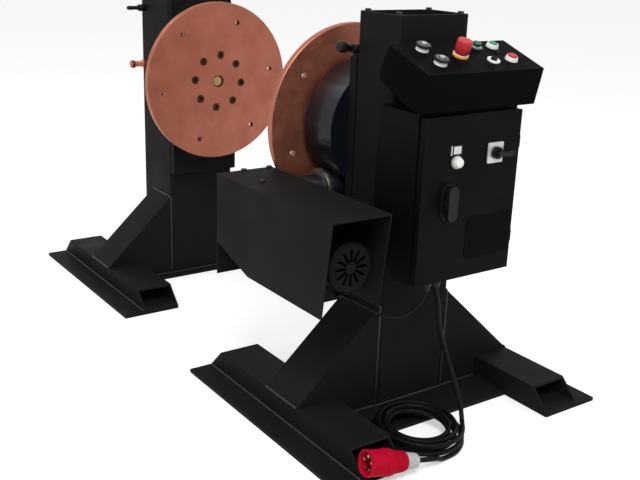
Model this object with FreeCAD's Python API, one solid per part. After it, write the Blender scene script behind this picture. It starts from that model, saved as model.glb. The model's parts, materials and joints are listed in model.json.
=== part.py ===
import FreeCAD, Part
import math
import os

# Two-column welding positioner. The turning axis lies along X, the operator's console faces +X,
# +Z is up, and the origin is on the floor midway between the two stands. Millimetres.

# ---------------------------------------------------------------- driving dimensions
GAP = 0.3                 # clearance between pieces that move past each other
SEAT = 0.05               # radial running clearance in bearings

AXIS_Z = 685.0            # height of the turning axis
STAND_OUT = 905.0         # floor centre to the outer end of a stand
STAND_LEN = 690.0         # length of the feet along X
HALF_WIDTH = 415.0        # centre line to the outer edge of the feet
FOOT_WIDTH = 180.0
PLATE_T = 10.0            # floor plate thickness
POCKET_W = 115.0          # fork pocket, outside
POCKET_H = 55.0
POCKET_WALL = 5.0
POCKET_SETBACK = 55.0     # the mitred ends lean back by this much
BRIDGE_IN = 470.0         # cross plate between the feet, inner and outer edge along X
BRIDGE_OUT = 760.0

COLUMN_TOP = 978.0
COLUMN_WALL = 8.0
COLUMN_RADIUS = 12.0
HEAD_FACE = 497.0         # disc side of the headstock column
TAIL_FACE = 497.0         # disc side of the tailstock column, from the origin
HEAD_DEPTH = 146.0
TAIL_DEPTH = 211.0        # the tailstock's column is the deeper and wider one
HEAD_WIDTH = 220.0
TAIL_WIDTH = 234.0
CAP_DEPTH = 40.0          # the closing plate sits this far below the column's rim
CAP_T = 6.0
TAB = 26.0                # corner tab for the rim screws
TAB_T = 10.0
GUSSET_TOP = 282.0
GUSSET_WALL = 8.0
GUSSET_INSET = 3.0        # gusset face stands back from the column's disc side
GUSSET_DEPTH = 140.0

HOOK_R = 6.0
HOOK_BOSS_R = 11.0
HEAD_HOOK_Z = 888.0
HEAD_HOOK_OUT = 154.0     # centre line to the peg's tip
HEAD_HOOK_RISE = 8.0
TAIL_HOOK_X = -678.0
TAIL_HOOK_Z = 896.0
TAIL_HOOK_OUT = 175.0
HOOK_BOSS_LEN = 22.0      # root boss beyond the column's side
STUD_R = 9.0              # copper current stud
STUD_LEN = 55.0
STUD_X = -678.0
STUD_Z = 711.0
MOUNT_PLATE_T = 24.0      # thick plate on each column's disc side
MOUNT_PLATE_TOP = 941.0
HEAD_PLATE_LOW = 429.0
TAIL_PLATE_LOW = 366.0
MOUNT_PLATE_BEVEL = 74.0

DISC_R = 250.0
DISC_T = 20.0
DISC_BORE_R = 19.5
DISC_CHAMFER = 2.0
HEAD_DISC_X = 325.0       # working face of the headstock disc
TAIL_DISC_X = 380.0       # working face of the tailstock disc, from the origin
SCREW_CIRCLE_R = 84.0
SCREW_COUNT = 8
SCREW_TURN = -5.5         # degrees, both circles are turned a little from upright
SCREW_R = 8.0             # M16
SCREW_HEAD_R = 12.0
SCREW_HEAD_H = 16.0
COUNTERBORE_DEPTH = 17.0
SCREW_CLEAR = 0.8         # through hole over the thread, radially
HEAD_CLAMP_CIRCLE_R = 197.5
TAIL_CLAMP_CIRCLE_R = 196.5
CLAMP_COUNT = 6
CLAMP_HOLE_R = 8.0
HEAD_CLAMP_TURN = 21.5
TAIL_CLAMP_TURN = 9.4
THREAD_DEPTH = 20.0

DRUM_R = 160.0            # slewing drive housing
DRUM_WALL = 14.0
DRUM_BACK_T = 15.0
DRUM_BORE_R = 40.0
DRUM_GAP = 12.0           # disc back to the drum's rim
RING_R = 122.0            # turning ring inside the drum
RING_BORE_R = 45.0
WHEEL_R = 128.0           # worm wheel
WHEEL_W = 44.0
WHEEL_TEETH = 60
TOOTH_DEPTH = 3.0
BALL_COUNT = 22
WORM_R = 24.0
WORM_LEN = 110.0
WORM_PITCH = 13.0
WORM_CORE_R = 20.0
WORM_SEAT_R = 15.0
WORM_BEARING_T = 18.0
WORM_TUBE_R = 42.0
WORM_NECK_R = 36.0        # the tube narrows towards the reducer
WORM_TUBE_BORE_R = 32.0
WORM_DRIVE_R = 12.0       # shaft end inside the reducer
WORM_FLANGE_R = 50.0
WORM_FLANGE_T = 12.0
WORM_FLANGE_Y = -138.0    # the turned flange's inner face
WORM_CAP_Y = 120.0        # end of the tube away from the reducer
WORM_CAP_T = 8.0
HOUSING_BOLT_R = 6.0
HOUSING_BOLT_CIRCLE_R = 85.0
HOUSING_BOLTS = 6
BOLT_HEAD_H = 8.0
BOLT_ACROSS = 19.0

COVER_LEFT = -385.0       # drive cover, outside faces
COVER_RIGHT = -226.0      # the disc's rim turns past this top corner
COVER_TOP = 575.0
COVER_BOTTOM = 350.0
COVER_FAR = 311.0
COVER_NEAR = 804.0
COVER_LEAN = 29.0         # the open end leans back towards its foot
COVER_END_LOW = 312.0     # the far end plate hangs below the sides
COVER_CUT_X = 463.0
COVER_CUT_Z = 398.0
SHEET = 3.0
BRACKET_X = (540.0, 620.0)
BRACKET_Z = (440.0, 500.0)
BRACKET_T = 6.0
BRACKET_FOOT = 12.0
REDUCER_X = (365.0, 465.0)
REDUCER_Y = (-345.0, -232.0)
REDUCER_Z = (436.0, 568.0)
REDUCER_END = 20.0        # closed end of the reducer beyond the worm shaft
MOTOR_Y = -306.0
MOTOR_Z = 455.0
MOTOR_R = 53.0
MOTOR_FIN_R = 58.0
MOTOR_LEN = 235.0
MOTOR_FLANGE_R = 66.0
MOTOR_FLANGE_T = 12.0
MOTOR_FINS = 24
FAN_COVER_R = 60.0
FAN_COVER_LEN = 70.0
FAN_COVER_WALL = 2.0
TERMINAL_X = (632.0, 712.0)
TERMINAL_Y = (-345.0, -265.0)
TERMINAL_LOW = 360.0

CAB_W = 300.0
CAB_DEPTH = 139.0
CAB_LOW = 388.0
CAB_TOP = 782.0
CAB_SHEET = 2.0
DOOR_T = 17.0
DOOR_GAP = 3.0
DOOR_INSET = 3.0          # door edge inside the cabinet's outline, each side
DOOR_LOW = 390.0
DOOR_TOP = 776.0
CHANNEL_INSET = 12.0       # rain channel inside the cabinet's outline
CHANNEL_H = 9.0
LOCK_R = 5.0
CAM_T = 4.0
HINGE_R = 4.0
HINGE_PIN_R = 3.0
HINGE_LEN = 28.0
HINGE_LUG = 9.0
HINGE_Z = (470.0, 700.0)

CONSOLE_W = 346.0
CONSOLE_SHEET = 2.0
CONSOLE_SIDE = ((695.0, 921.0), (830.0, 872.0), (811.0, 788.0), (751.0, 802.0), (669.0, 843.0),
                (668.0, 863.0))   # side outline, X and Z
LAMP_BEZEL_R = 14.75
COLLAR_R = 15.0           # 22.5 mm controls
COLLAR_TOP_R = 13.0       # tall bezels taper to this
COLLAR_H = 4.0
COLLAR_TALL_H = 9.0
WELL_FLOOR = 1.0          # floor of a push button's well above the panel
PUSH_R = 10.5
ESTOP_R = 17.5
ESTOP_COLLAR_H = 6.0
STEM_R = 11.0
STEM_LEN = 32.0
PLUNGER_R = 8.0
PLUNGER_END = 8.0         # solid end of the stem under the plunger
BUTTON_TRAVEL = 4.0
START_TOP = 10.5
STOP_TOP = 13.0
RESET_TOP = 13.0
ESTOP_TOP = 39.0
KNOB_R = 17.0
KNOB_T = 6.0
KNOB_HUB_R = 6.0
KNOB_FLUTES = 12

TAIL_BARREL_R = 62.0
TAIL_FLANGE_R = 100.0
TAIL_FLANGE_T = 15.0
SPINDLE_R = 30.0
SPINDLE_FLANGE_R = 110.0
SPINDLE_FLANGE_T = 18.0
CENTRE_BOLT_R = 8.0
CENTRE_BOLT_LEN = 36.0
CENTRE_BOLT_ACROSS = 28.0
TAIL_BARREL_GAP = 4.0      # spindle flange to the bearing barrel
SPINDLE_INTO_COLUMN = 20.0
TAIL_BEARING_R = 47.0
TAIL_BEARING_T = 18.0

LEAD_R = 3.6              # motor lead
CORD_R = 5.75             # supply cord
COIL_OUT_R = 116.0
COIL_IN_R = 64.0
COIL_H = 48.0
COIL_ROUND = 15.0
COIL_CENTRE = (815.0, -118.0)
PLUG_R = 31.0
PLUG_TIP = (906.0, -347.0, 55.0)
PLUG_TAIL = (926.0, -215.0, 31.0)

# ---------------------------------------------------------------- derived places
HEAD_OUT = HEAD_FACE + HEAD_DEPTH
HEAD_HALF = HEAD_WIDTH / 2
TAIL_HALF = TAIL_WIDTH / 2
HEAD_BOX = (HEAD_FACE, HEAD_OUT, HEAD_HALF)                  # disc side, outer side, half width
TAIL_BOX = (TAIL_FACE, TAIL_FACE + TAIL_DEPTH, TAIL_HALF)
FOOT_IN = HALF_WIDTH - FOOT_WIDTH
POCKET_TOP = PLATE_T + POCKET_H
MOUNT_X = HEAD_FACE - MOUNT_PLATE_T
TAIL_SEAT = TAIL_FACE - MOUNT_PLATE_T
HEAD_DISC_BACK = HEAD_DISC_X + DISC_T
DRUM_X = HEAD_DISC_BACK + DRUM_GAP
DRUM_BACK = MOUNT_X - DRUM_BACK_T
WORM_X = DRUM_X + 56.0
WORM_Z = AXIS_Z - WHEEL_R - WORM_R - 2 * GAP
CAB_FRONT = HEAD_OUT + CAB_DEPTH
DOOR_BACK = CAB_FRONT + DOOR_GAP
DOOR_FACE = DOOR_BACK + DOOR_T
HALF_DOOR = CAB_W / 2 - DOOR_INSET
TAIL_DISC_BACK = -TAIL_DISC_X - DISC_T
CAM_X = CAB_FRONT - 8.0
HINGE_X = CAB_FRONT + 1.5
HINGE_Y = CAB_W / 2 + 1.5
VX = FreeCAD.Vector(1, 0, 0)
VY = FreeCAD.Vector(0, 1, 0)
VZ = FreeCAD.Vector(0, 0, 1)


def vec(x, y, z):
    return FreeCAD.Vector(x, y, z)


# ---------------------------------------------------------------- shape helpers
def box(x, y, z):
    """A box from three (low, high) pairs."""
    return Part.makeBox(x[1] - x[0], y[1] - y[0], z[1] - z[0], vec(x[0], y[0], z[0]))


def rod_x(x0, x1, y, z, r):
    return Part.makeCylinder(r, x1 - x0, vec(x0, y, z), VX)


def rod_y(y0, y1, x, z, r):
    return Part.makeCylinder(r, y1 - y0, vec(x, y0, z), VY)


def rod_z(z0, z1, x, y, r):
    return Part.makeCylinder(r, z1 - z0, vec(x, y, z0), VZ)


def prism(points, along):
    """A closed polygon pushed along a vector."""
    wire = Part.makePolygon(points + [points[0]])
    return Part.Face(wire).extrude(along)


def prism_x(points, x0, x1):
    return prism([vec(x0, y, z) for y, z in points], vec(x1 - x0, 0, 0))


def prism_y(points, y0, y1):
    return prism([vec(x, y0, z) for x, z in points], vec(0, y1 - y0, 0))


def prism_z(points, z0, z1):
    return prism([vec(x, y, z0) for x, y in points], vec(0, 0, z1 - z0))


def hexagon(centre, axis, across, height):
    """A hexagonal head or nut standing on centre along axis."""
    r = across / math.sqrt(3)
    pts = [vec(r * math.cos(math.radians(a)), r * math.sin(math.radians(a)), 0)
           for a in range(0, 360, 60)]
    body = prism(pts, vec(0, 0, height))
    body.Placement = FreeCAD.Placement(centre, FreeCAD.Rotation(VZ, axis))
    return body


def group(solids):
    return Part.makeCompound(solids)


def fuse(first, *others):
    return first.fuse(list(others)).removeSplitter()


def circle_points(count, radius, turn):
    """Y, Z offsets of a hole circle round the turning axis."""
    angles = [math.radians(turn + 360.0 * k / count) for k in range(count)]
    return [(radius * math.cos(a), radius * math.sin(a)) for a in angles]


def mirror_x(shape):
    return shape.mirror(vec(0, 0, 0), VX)


def rounded(shape, direction, radius):
    """Round the straight edges that run along direction."""
    edges = [e for e in shape.Edges if isinstance(e.Curve, Part.Line)
             and abs(e.Curve.Direction.dot(direction)) > 0.999]
    return shape.makeFillet(radius, edges)


def save(name, shape):
    shape.exportStep(os.path.join("parts", name + ".step"))


# ---------------------------------------------------------------- stands
def base_plate():
    """Two foot plates and the cross plate between them, one flame-cut piece."""
    inner = STAND_OUT - STAND_LEN
    left = box((inner, STAND_OUT), (-HALF_WIDTH, -FOOT_IN), (0, PLATE_T))
    right = box((inner, STAND_OUT), (FOOT_IN, HALF_WIDTH), (0, PLATE_T))
    bridge = box((BRIDGE_IN, BRIDGE_OUT), (-FOOT_IN, FOOT_IN), (0, PLATE_T))
    return fuse(bridge, left, right)


def fork_pockets():
    """A rectangular tube on each foot, open and mitred at both ends."""
    inner = STAND_OUT - STAND_LEN
    side = [(inner, PLATE_T), (STAND_OUT, PLATE_T), (STAND_OUT - POCKET_SETBACK, POCKET_TOP),
            (inner + POCKET_SETBACK, POCKET_TOP)]
    tubes = []
    for y0 in (FOOT_IN, -FOOT_IN - POCKET_W):
        tube = prism_y(side, y0, y0 + POCKET_W)
        hollow = box((inner - 1, STAND_OUT + 1), (y0 + POCKET_WALL, y0 + POCKET_W - POCKET_WALL),
                     (PLATE_T + POCKET_WALL, POCKET_TOP - POCKET_WALL))
        tubes.append(tube.cut(hollow))
    return group(tubes)


def column(sides):
    """A box column, open at the top, with a tab in each top corner for the rim screws."""
    face, back, half = sides
    outer = rounded(box((face, back), (-half, half), (PLATE_T, COLUMN_TOP)), VZ, COLUMN_RADIUS)
    w = COLUMN_WALL
    core = rounded(box((face + w, back - w), (-half + w, half - w), (PLATE_T - 1, COLUMN_TOP + 1)),
                   VZ, COLUMN_RADIUS - w)
    shell = outer.cut(core)
    shell = shell.cut(rod_x(face - 1, face + w + 1, 0, AXIS_Z, DRUM_BORE_R))
    for y, z in circle_points(HOUSING_BOLTS, HOUSING_BOLT_CIRCLE_R, 0):
        shell = shell.cut(rod_x(face - 1, face + w + 1, y, AXIS_Z + z, HOUSING_BOLT_R + GAP))
    tabs = []
    for x, sx in ((face + w, 1), (back - w, -1)):
        for y, sy in ((-half + w, 1), (half - w, -1)):
            pts = [(x - sx, y - sy), (x + sx * TAB, y - sy), (x - sx, y + sy * TAB)]
            tabs.append(prism_z(pts, COLUMN_TOP - TAB_T, COLUMN_TOP).common(outer))
    for x, y in rim_screw_places(sides):
        tabs = [t.cut(rod_z(COLUMN_TOP - TAB_T - 1, COLUMN_TOP + 1, x, y, 4 + GAP)) for t in tabs]
    return fuse(shell, *tabs)


def rim_screw_places(sides):
    face, back, half = sides
    inset = COLUMN_WALL + TAB / 4 + 1.5
    xs = (face + inset, back - inset)
    ys = (-half + inset, half - inset)
    return [(x, y) for x in xs for y in ys]


def column_cap(sides):
    """The plate that closes the column a little below its rim."""
    face, back, half = sides
    w = COLUMN_WALL
    low = COLUMN_TOP - CAP_DEPTH - CAP_T
    plate = box((face + w, back - w), (-half + w, half - w), (low, low + CAP_T))
    return rounded(plate, VZ, COLUMN_RADIUS - w)


def rim_screws(sides):
    out = []
    for x, y in rim_screw_places(sides):
        head = hexagon(vec(x, y, COLUMN_TOP), VZ, 13.0, 5.5)
        out.append(fuse(head, rod_z(COLUMN_TOP - 20, COLUMN_TOP, x, y, 4.0)))
    return out


def gussets(sides):
    """The flared skirt: a sloping plate with two triangular cheeks on each side of the column."""
    x0 = sides[0] + GUSSET_INSET
    x1 = x0 + GUSSET_DEPTH
    y_in = sides[2]
    y_toe = FOOT_IN + POCKET_W
    run = y_toe - y_in
    rise = GUSSET_TOP - POCKET_TOP
    slope = math.hypot(run, rise)
    t = GUSSET_WALL
    outline = [(y_in, PLATE_T), (FOOT_IN, PLATE_T), (FOOT_IN, POCKET_TOP), (y_toe, POCKET_TOP),
               (y_in, GUSSET_TOP)]
    inner = [(y_in - 1, PLATE_T - 1), (FOOT_IN - t, PLATE_T - 1), (FOOT_IN - t, POCKET_TOP + t),
             (y_toe - t * slope / rise - t * run / rise, POCKET_TOP + t),
             (y_in - 1, GUSSET_TOP - t * slope / run + rise / run)]
    one = prism_x(outline, x0, x1).cut(prism_x(inner, x0 + t, x1 - t))
    return [one, one.mirror(vec(0, 0, 0), VY)]


def bevelled_plate(x, half, low):
    """Thick plate with bevelled top corners, its low X face at x."""
    b = MOUNT_PLATE_BEVEL
    pts = [(-half, low), (half, low), (half, MOUNT_PLATE_TOP - b), (half - b, MOUNT_PLATE_TOP),
           (-half + b, MOUNT_PLATE_TOP), (-half, MOUNT_PLATE_TOP - b)]
    return prism_x(pts, x, x + MOUNT_PLATE_T)


def mount_plate(x, half, low):
    """The bevelled plate, bored for a spindle and the bolts of its bearing."""
    plate = bevelled_plate(x, half, low)
    plate = plate.cut(rod_x(x - 1, x + MOUNT_PLATE_T + 1, 0, AXIS_Z, DRUM_BORE_R))
    for y, z in circle_points(HOUSING_BOLTS, HOUSING_BOLT_CIRCLE_R, 0):
        plate = plate.cut(rod_x(x - 1, x + MOUNT_PLATE_T + 1, y, AXIS_Z + z, HOUSING_BOLT_R + GAP))
    return plate


def cable_hook(x, z, inner, boss_end, tip, rise):
    """A round peg with a root boss from y = -inner, its tip at y = -tip."""
    root = rod_y(-boss_end, -inner, x, z, HOOK_BOSS_R)
    start = vec(x, -boss_end + 2, z)
    end = vec(x, -tip, z + rise)
    peg = Part.makeCylinder(HOOK_R, (end - start).Length, start, end - start)
    return fuse(root, peg, Part.makeSphere(HOOK_R, end))


def cable_hooks():
    """One peg on the headstock plate's bevelled edge and one on the tailstock column's side."""
    head = cable_hook(MOUNT_X + MOUNT_PLATE_T / 2, HEAD_HOOK_Z, HEAD_HALF / 2, HEAD_HALF + HOOK_R,
                      HEAD_HOOK_OUT, HEAD_HOOK_RISE)
    head = head.cut(bevelled_plate(MOUNT_X, HEAD_HALF, HEAD_PLATE_LOW))
    tail = cable_hook(TAIL_HOOK_X, TAIL_HOOK_Z, TAIL_HALF, TAIL_HALF + HOOK_BOSS_LEN, TAIL_HOOK_OUT, 0.0)
    return group([head, tail])


# ---------------------------------------------------------------- faceplates
def faceplate(x, clamp_circle_r, clamp_turn):
    """A disc with its working face at x, facing -X."""
    disc = rod_x(x, x + DISC_T, 0, AXIS_Z, DISC_R)
    rims = [e for e in disc.Edges if isinstance(e.Curve, Part.Circle)]
    disc = disc.makeChamfer(DISC_CHAMFER, rims)
    disc = disc.cut(rod_x(x - 1, x + DISC_T + 1, 0, AXIS_Z, DISC_BORE_R))
    cuts = []
    for y, z in circle_points(SCREW_COUNT, SCREW_CIRCLE_R, SCREW_TURN):
        cuts.append(rod_x(x - 1, x + COUNTERBORE_DEPTH, y, AXIS_Z + z, SCREW_HEAD_R + 1))
        cuts.append(rod_x(x, x + DISC_T + 1, y, AXIS_Z + z, SCREW_R + SCREW_CLEAR))
    for y, z in circle_points(CLAMP_COUNT, clamp_circle_r, clamp_turn):
        cuts.append(rod_x(x - 1, x + DISC_T + 1, y, AXIS_Z + z, CLAMP_HOLE_R))
    return disc.cut(cuts)


def faceplate_screws(x):
    """Socket head screws sunk in the disc, threaded into the ring behind it."""
    seat = x + COUNTERBORE_DEPTH
    out = []
    for y, z in circle_points(SCREW_COUNT, SCREW_CIRCLE_R, SCREW_TURN):
        head = rod_x(seat - SCREW_HEAD_H, seat, y, AXIS_Z + z, SCREW_HEAD_R)
        socket = hexagon(vec(seat - SCREW_HEAD_H - 1, y, AXIS_Z + z), VX, 14.0, 8.0)
        shank = rod_x(seat, x + DISC_T + THREAD_DEPTH - 4, y, AXIS_Z + z, SCREW_R)
        out.append(fuse(head, shank).cut(socket))
    return group(out)


def threaded_ring(shape, x):
    """Cut the blind holes that take the faceplate screws, starting at the disc's back x."""
    for y, z in circle_points(SCREW_COUNT, SCREW_CIRCLE_R, SCREW_TURN):
        shape = shape.cut(rod_x(x - 1, x + THREAD_DEPTH, y, AXIS_Z + z, SCREW_R + GAP / 2))
    return shape


# ---------------------------------------------------------------- slewing drive
def slew_housing():
    """Drum casting with the worm's tube under it and two flanges on the tube."""
    drum = rod_x(DRUM_X, MOUNT_X, 0, AXIS_Z, DRUM_R)
    rim = [e for e in drum.Edges if isinstance(e.Curve, Part.Circle) and abs(e.CenterOfMass.x - DRUM_X) < 1]
    drum = drum.makeFillet(5.0, rim)
    tube = rod_y(WORM_FLANGE_Y, WORM_CAP_Y, WORM_X, WORM_Z, WORM_TUBE_R)
    neck = rod_y(REDUCER_Y[1], WORM_FLANGE_Y, WORM_X, WORM_Z, WORM_NECK_R)
    body = fuse(drum, tube, neck)
    body = body.cut(rod_x(DRUM_X - 1, DRUM_BACK, 0, AXIS_Z, DRUM_R - DRUM_WALL))
    body = body.cut(rod_x(DRUM_X, MOUNT_X + 1, 0, AXIS_Z, DRUM_BORE_R))
    body = body.cut(rod_y(-WORM_LEN / 2 - WORM_BEARING_T, WORM_CAP_Y + 1, WORM_X, WORM_Z, WORM_TUBE_BORE_R))
    body = body.cut(rod_y(REDUCER_Y[1] - 1, 0, WORM_X, WORM_Z, WORM_SEAT_R + 3))
    for y, z in circle_points(HOUSING_BOLTS, HOUSING_BOLT_CIRCLE_R, 0):
        body = body.cut(rod_x(DRUM_BACK - 1, MOUNT_X + 1, y, AXIS_Z + z, HOUSING_BOLT_R + GAP))
    return body


def through_bolt(x0, x1, y, z, nut_x):
    """Hexagon bolt with its head's seat at x0 and its end at x1, and the nut on it at nut_x."""
    head_x = x0 - BOLT_HEAD_H if x1 > x0 else x0
    head = hexagon(vec(head_x, y, z), VX, BOLT_ACROSS, BOLT_HEAD_H)
    shank = rod_x(min(x0, x1), max(x0, x1), y, z, HOUSING_BOLT_R)
    nut = hexagon(vec(nut_x, y, z), VX, BOLT_ACROSS, BOLT_HEAD_H)
    return fuse(head, shank, nut)


def housing_bolts():
    """Bolts through the drum's back and the tailstock bearing's flange, nuts inside the columns."""
    out = []
    wall = HEAD_FACE + COLUMN_WALL
    tail_wall = -TAIL_FACE - COLUMN_WALL
    tail_head = -TAIL_SEAT + TAIL_FLANGE_T
    for y, z in circle_points(HOUSING_BOLTS, HOUSING_BOLT_CIRCLE_R, 0):
        out.append(through_bolt(DRUM_BACK, wall + BOLT_HEAD_H + 3, y, AXIS_Z + z, wall))
        out.append(through_bolt(tail_head, tail_wall - BOLT_HEAD_H - 3, y, AXIS_Z + z,
                                tail_wall - BOLT_HEAD_H))
    return group(out)


def slew_ring():
    """Turning ring: disc flange, bearing race and worm wheel in one."""
    ring = rod_x(HEAD_DISC_BACK, DRUM_BACK - 14, 0, AXIS_Z, RING_R)
    wheel = rod_x(WORM_X - WHEEL_W / 2, WORM_X + WHEEL_W / 2, 0, AXIS_Z, WHEEL_R)
    body = fuse(ring, wheel).cut(rod_x(HEAD_DISC_BACK - 1, DRUM_BACK, 0, AXIS_Z, RING_BORE_R))
    notches = []
    width = math.pi * WHEEL_R / WHEEL_TEETH
    for k in range(WHEEL_TEETH):
        slot = box((WORM_X - WHEEL_W / 2 - 1, WORM_X + WHEEL_W / 2 + 1), (-width / 2, width / 2),
                   (AXIS_Z + WHEEL_R - TOOTH_DEPTH, AXIS_Z + WHEEL_R + 2))
        slot.rotate(vec(0, 0, AXIS_Z), VX, 360.0 * k / WHEEL_TEETH)
        notches.append(slot)
    return threaded_ring(body.cut(notches), HEAD_DISC_BACK)


def slew_balls():
    """Ball row between the turning ring and the drum's wall."""
    wall = DRUM_R - DRUM_WALL
    r = (wall - RING_R) / 2 - GAP
    x = DRUM_X + r + 4
    middle = (wall + RING_R) / 2
    spots = circle_points(BALL_COUNT, middle, 0)
    return group([Part.makeSphere(r, vec(x, y, AXIS_Z + z)) for y, z in spots])


def worm_shaft():
    """Worm with its threads as grooves, two bearing seats and the reducer's drive end."""
    half = WORM_LEN / 2
    body = rod_y(-half + 4, half - 4, WORM_X, WORM_Z, WORM_CORE_R)
    count = int((WORM_LEN - 16) / WORM_PITCH)
    start = -WORM_PITCH * (count - 1) / 2
    threads = [rod_y(start + k * WORM_PITCH - 3, start + k * WORM_PITCH + 3, WORM_X, WORM_Z, WORM_R)
               for k in range(count)]
    seat = rod_y(-half - WORM_BEARING_T, half + WORM_BEARING_T, WORM_X, WORM_Z, WORM_SEAT_R)
    drive = rod_y(REDUCER_Y[0] + REDUCER_END, -half, WORM_X, WORM_Z, WORM_DRIVE_R)
    return fuse(body, seat, drive, *threads)


def worm_bearings():
    half = WORM_LEN / 2
    out = []
    for y0 in (-half - WORM_BEARING_T, half):
        ring = rod_y(y0, y0 + WORM_BEARING_T, WORM_X, WORM_Z, WORM_TUBE_BORE_R)
        out.append(ring.cut(rod_y(y0 - 1, y0 + WORM_BEARING_T + 1, WORM_X, WORM_Z, WORM_SEAT_R + SEAT)))
    return group(out)


def worm_end_caps():
    """Turned steel flange towards the reducer and the blind cap at the other end."""
    flange = rod_y(WORM_FLANGE_Y - WORM_FLANGE_T, WORM_FLANGE_Y, WORM_X, WORM_Z, WORM_FLANGE_R)
    flange = flange.cut(rod_y(WORM_FLANGE_Y - 20, WORM_FLANGE_Y + 1, WORM_X, WORM_Z, WORM_NECK_R))
    cap = rod_y(WORM_CAP_Y, WORM_CAP_Y + WORM_CAP_T, WORM_X, WORM_Z, WORM_TUBE_R)
    heads = []
    for k in range(4):
        a = math.radians(45 + 90 * k)
        x = WORM_X + (WORM_TUBE_R - 6) * math.cos(a)
        z = WORM_Z + (WORM_TUBE_R - 6) * math.sin(a)
        heads.append(hexagon(vec(x, WORM_CAP_Y + WORM_CAP_T, z), VY, 8.0, 4.0))
    return group([flange, fuse(cap, *heads)])


def reducer():
    """Right-angle gearbox hung on the worm housing's neck, its output round the worm's end."""
    body = rounded(box(REDUCER_X, REDUCER_Y, REDUCER_Z), VX, 14.0)
    bore_end = REDUCER_Y[0] + REDUCER_END - 2
    return body.cut(rod_y(bore_end, REDUCER_Y[1] + 1, WORM_X, WORM_Z, WORM_DRIVE_R + GAP))


def motor():
    """Finned motor with its flange on the reducer."""
    x0 = REDUCER_X[1]
    x1 = x0 + MOTOR_LEN
    flange = rod_x(x0, x0 + MOTOR_FLANGE_T, MOTOR_Y, MOTOR_Z, MOTOR_FLANGE_R)
    body = rod_x(x0, x1, MOTOR_Y, MOTOR_Z, MOTOR_R)
    fins = []
    for k in range(MOTOR_FINS):
        fin = box((x0 + MOTOR_FLANGE_T + 12, x1 - 8), (MOTOR_Y - 1.5, MOTOR_Y + 1.5),
                  (MOTOR_Z + MOTOR_R - 3, MOTOR_Z + MOTOR_FIN_R))
        fin.rotate(vec(0, MOTOR_Y, MOTOR_Z), VX, 360.0 * k / MOTOR_FINS)
        fins.append(fin)
    return fuse(body, flange, *fins)


def motor_fan_cover():
    """Cap over the fan with a ring of air slots in its end."""
    x0 = REDUCER_X[1] + MOTOR_LEN
    x1 = x0 + FAN_COVER_LEN
    cap = rod_x(x0, x1, MOTOR_Y, MOTOR_Z, FAN_COVER_R)
    rim = [e for e in cap.Edges if isinstance(e.Curve, Part.Circle) and abs(e.CenterOfMass.x - x1) < 1]
    cap = cap.makeFillet(9.0, rim)
    cap = cap.cut(rod_x(x0 - 1, x1 - FAN_COVER_WALL, MOTOR_Y, MOTOR_Z, MOTOR_R - FAN_COVER_WALL))
    cuts = []
    for k in range(12):
        slot = box((x1 - 6, x1 + 1), (MOTOR_Y - 3, MOTOR_Y + 3), (MOTOR_Z + 14, MOTOR_Z + 42))
        slot.rotate(vec(0, MOTOR_Y, MOTOR_Z), VX, 30.0 * k)
        cuts.append(slot)
    return cap.cut(cuts)


def terminal_box():
    """Connection box hung under the motor, with a saddle up to its body."""
    top = MOTOR_Z - FAN_COVER_R - 3
    case = rounded(box(TERMINAL_X, TERMINAL_Y, (TERMINAL_LOW, top)), VZ, 6.0)
    saddle = box((TERMINAL_X[0] + 10, TERMINAL_X[1] - 20), (TERMINAL_Y[0] + 20, TERMINAL_Y[1] - 20),
                 (top, MOTOR_Z - MOTOR_R + 4))
    whole = fuse(case, saddle)
    return whole.cut(motor())


def drive_cover():
    """Folded hood, open below and at the near end."""
    near_low = COVER_NEAR - COVER_LEAN
    side = [(COVER_FAR, COVER_CUT_Z), (COVER_CUT_X, COVER_BOTTOM), (near_low, COVER_BOTTOM),
            (COVER_NEAR, COVER_TOP), (COVER_FAR, COVER_TOP)]
    hood = prism_y(side, COVER_LEFT, COVER_RIGHT)
    hood = hood.cut(box((COVER_FAR + SHEET, COVER_NEAR + 1), (COVER_LEFT + SHEET, COVER_RIGHT - SHEET),
                        (COVER_BOTTOM - 1, COVER_TOP - SHEET)))
    end = box((COVER_FAR, COVER_FAR + SHEET), (COVER_LEFT, COVER_RIGHT), (COVER_END_LOW, COVER_TOP))
    hood = fuse(hood, end)
    neck = WORM_NECK_R + 2 * GAP
    slot = box((WORM_X - neck, WORM_X + neck), (COVER_RIGHT - SHEET - 1, COVER_RIGHT + 1),
               (COVER_BOTTOM - 1, WORM_Z))
    return hood.cut([slot, rod_y(COVER_RIGHT - SHEET - 1, COVER_RIGHT + 1, WORM_X, WORM_Z, neck)])


COVER_SCREWS = ((322.0, -314.0), (322.0, -240.0), (438.0, -332.0))


def cover_screws():
    """Hexagon screws on the drive cover and on the rims of both columns."""
    out = [hexagon(vec(x, y, COVER_TOP), VZ, 13.0, 5.5) for x, y in COVER_SCREWS]
    out += rim_screws(HEAD_BOX)
    out += [mirror_x(s) for s in rim_screws(TAIL_BOX)]
    return group(out)


def drive_bracket():
    """Channel arm from the column's side out to the drive cover, with a foot at each end."""
    y0 = COVER_RIGHT
    y1 = -HEAD_HALF
    x0, x1 = BRACKET_X
    z0, z1 = BRACKET_Z
    t = BRACKET_T
    arm = box((x0, x1), (y0, y1), (z0, z1))
    arm = arm.cut(box((x0 + t, x1 - t), (y0 - 1, y1 + 1), (z0 - 1, z1 - t)))
    foot_in = box((x0 - BRACKET_FOOT, x1 + BRACKET_FOOT), (y1 - t, y1), (z0 - BRACKET_FOOT, z1))
    foot_out = box((x0 - BRACKET_FOOT, x1 + BRACKET_FOOT), (y0, y0 + t), (z0 - BRACKET_FOOT, z1))
    return fuse(arm, foot_in, foot_out)


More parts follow.
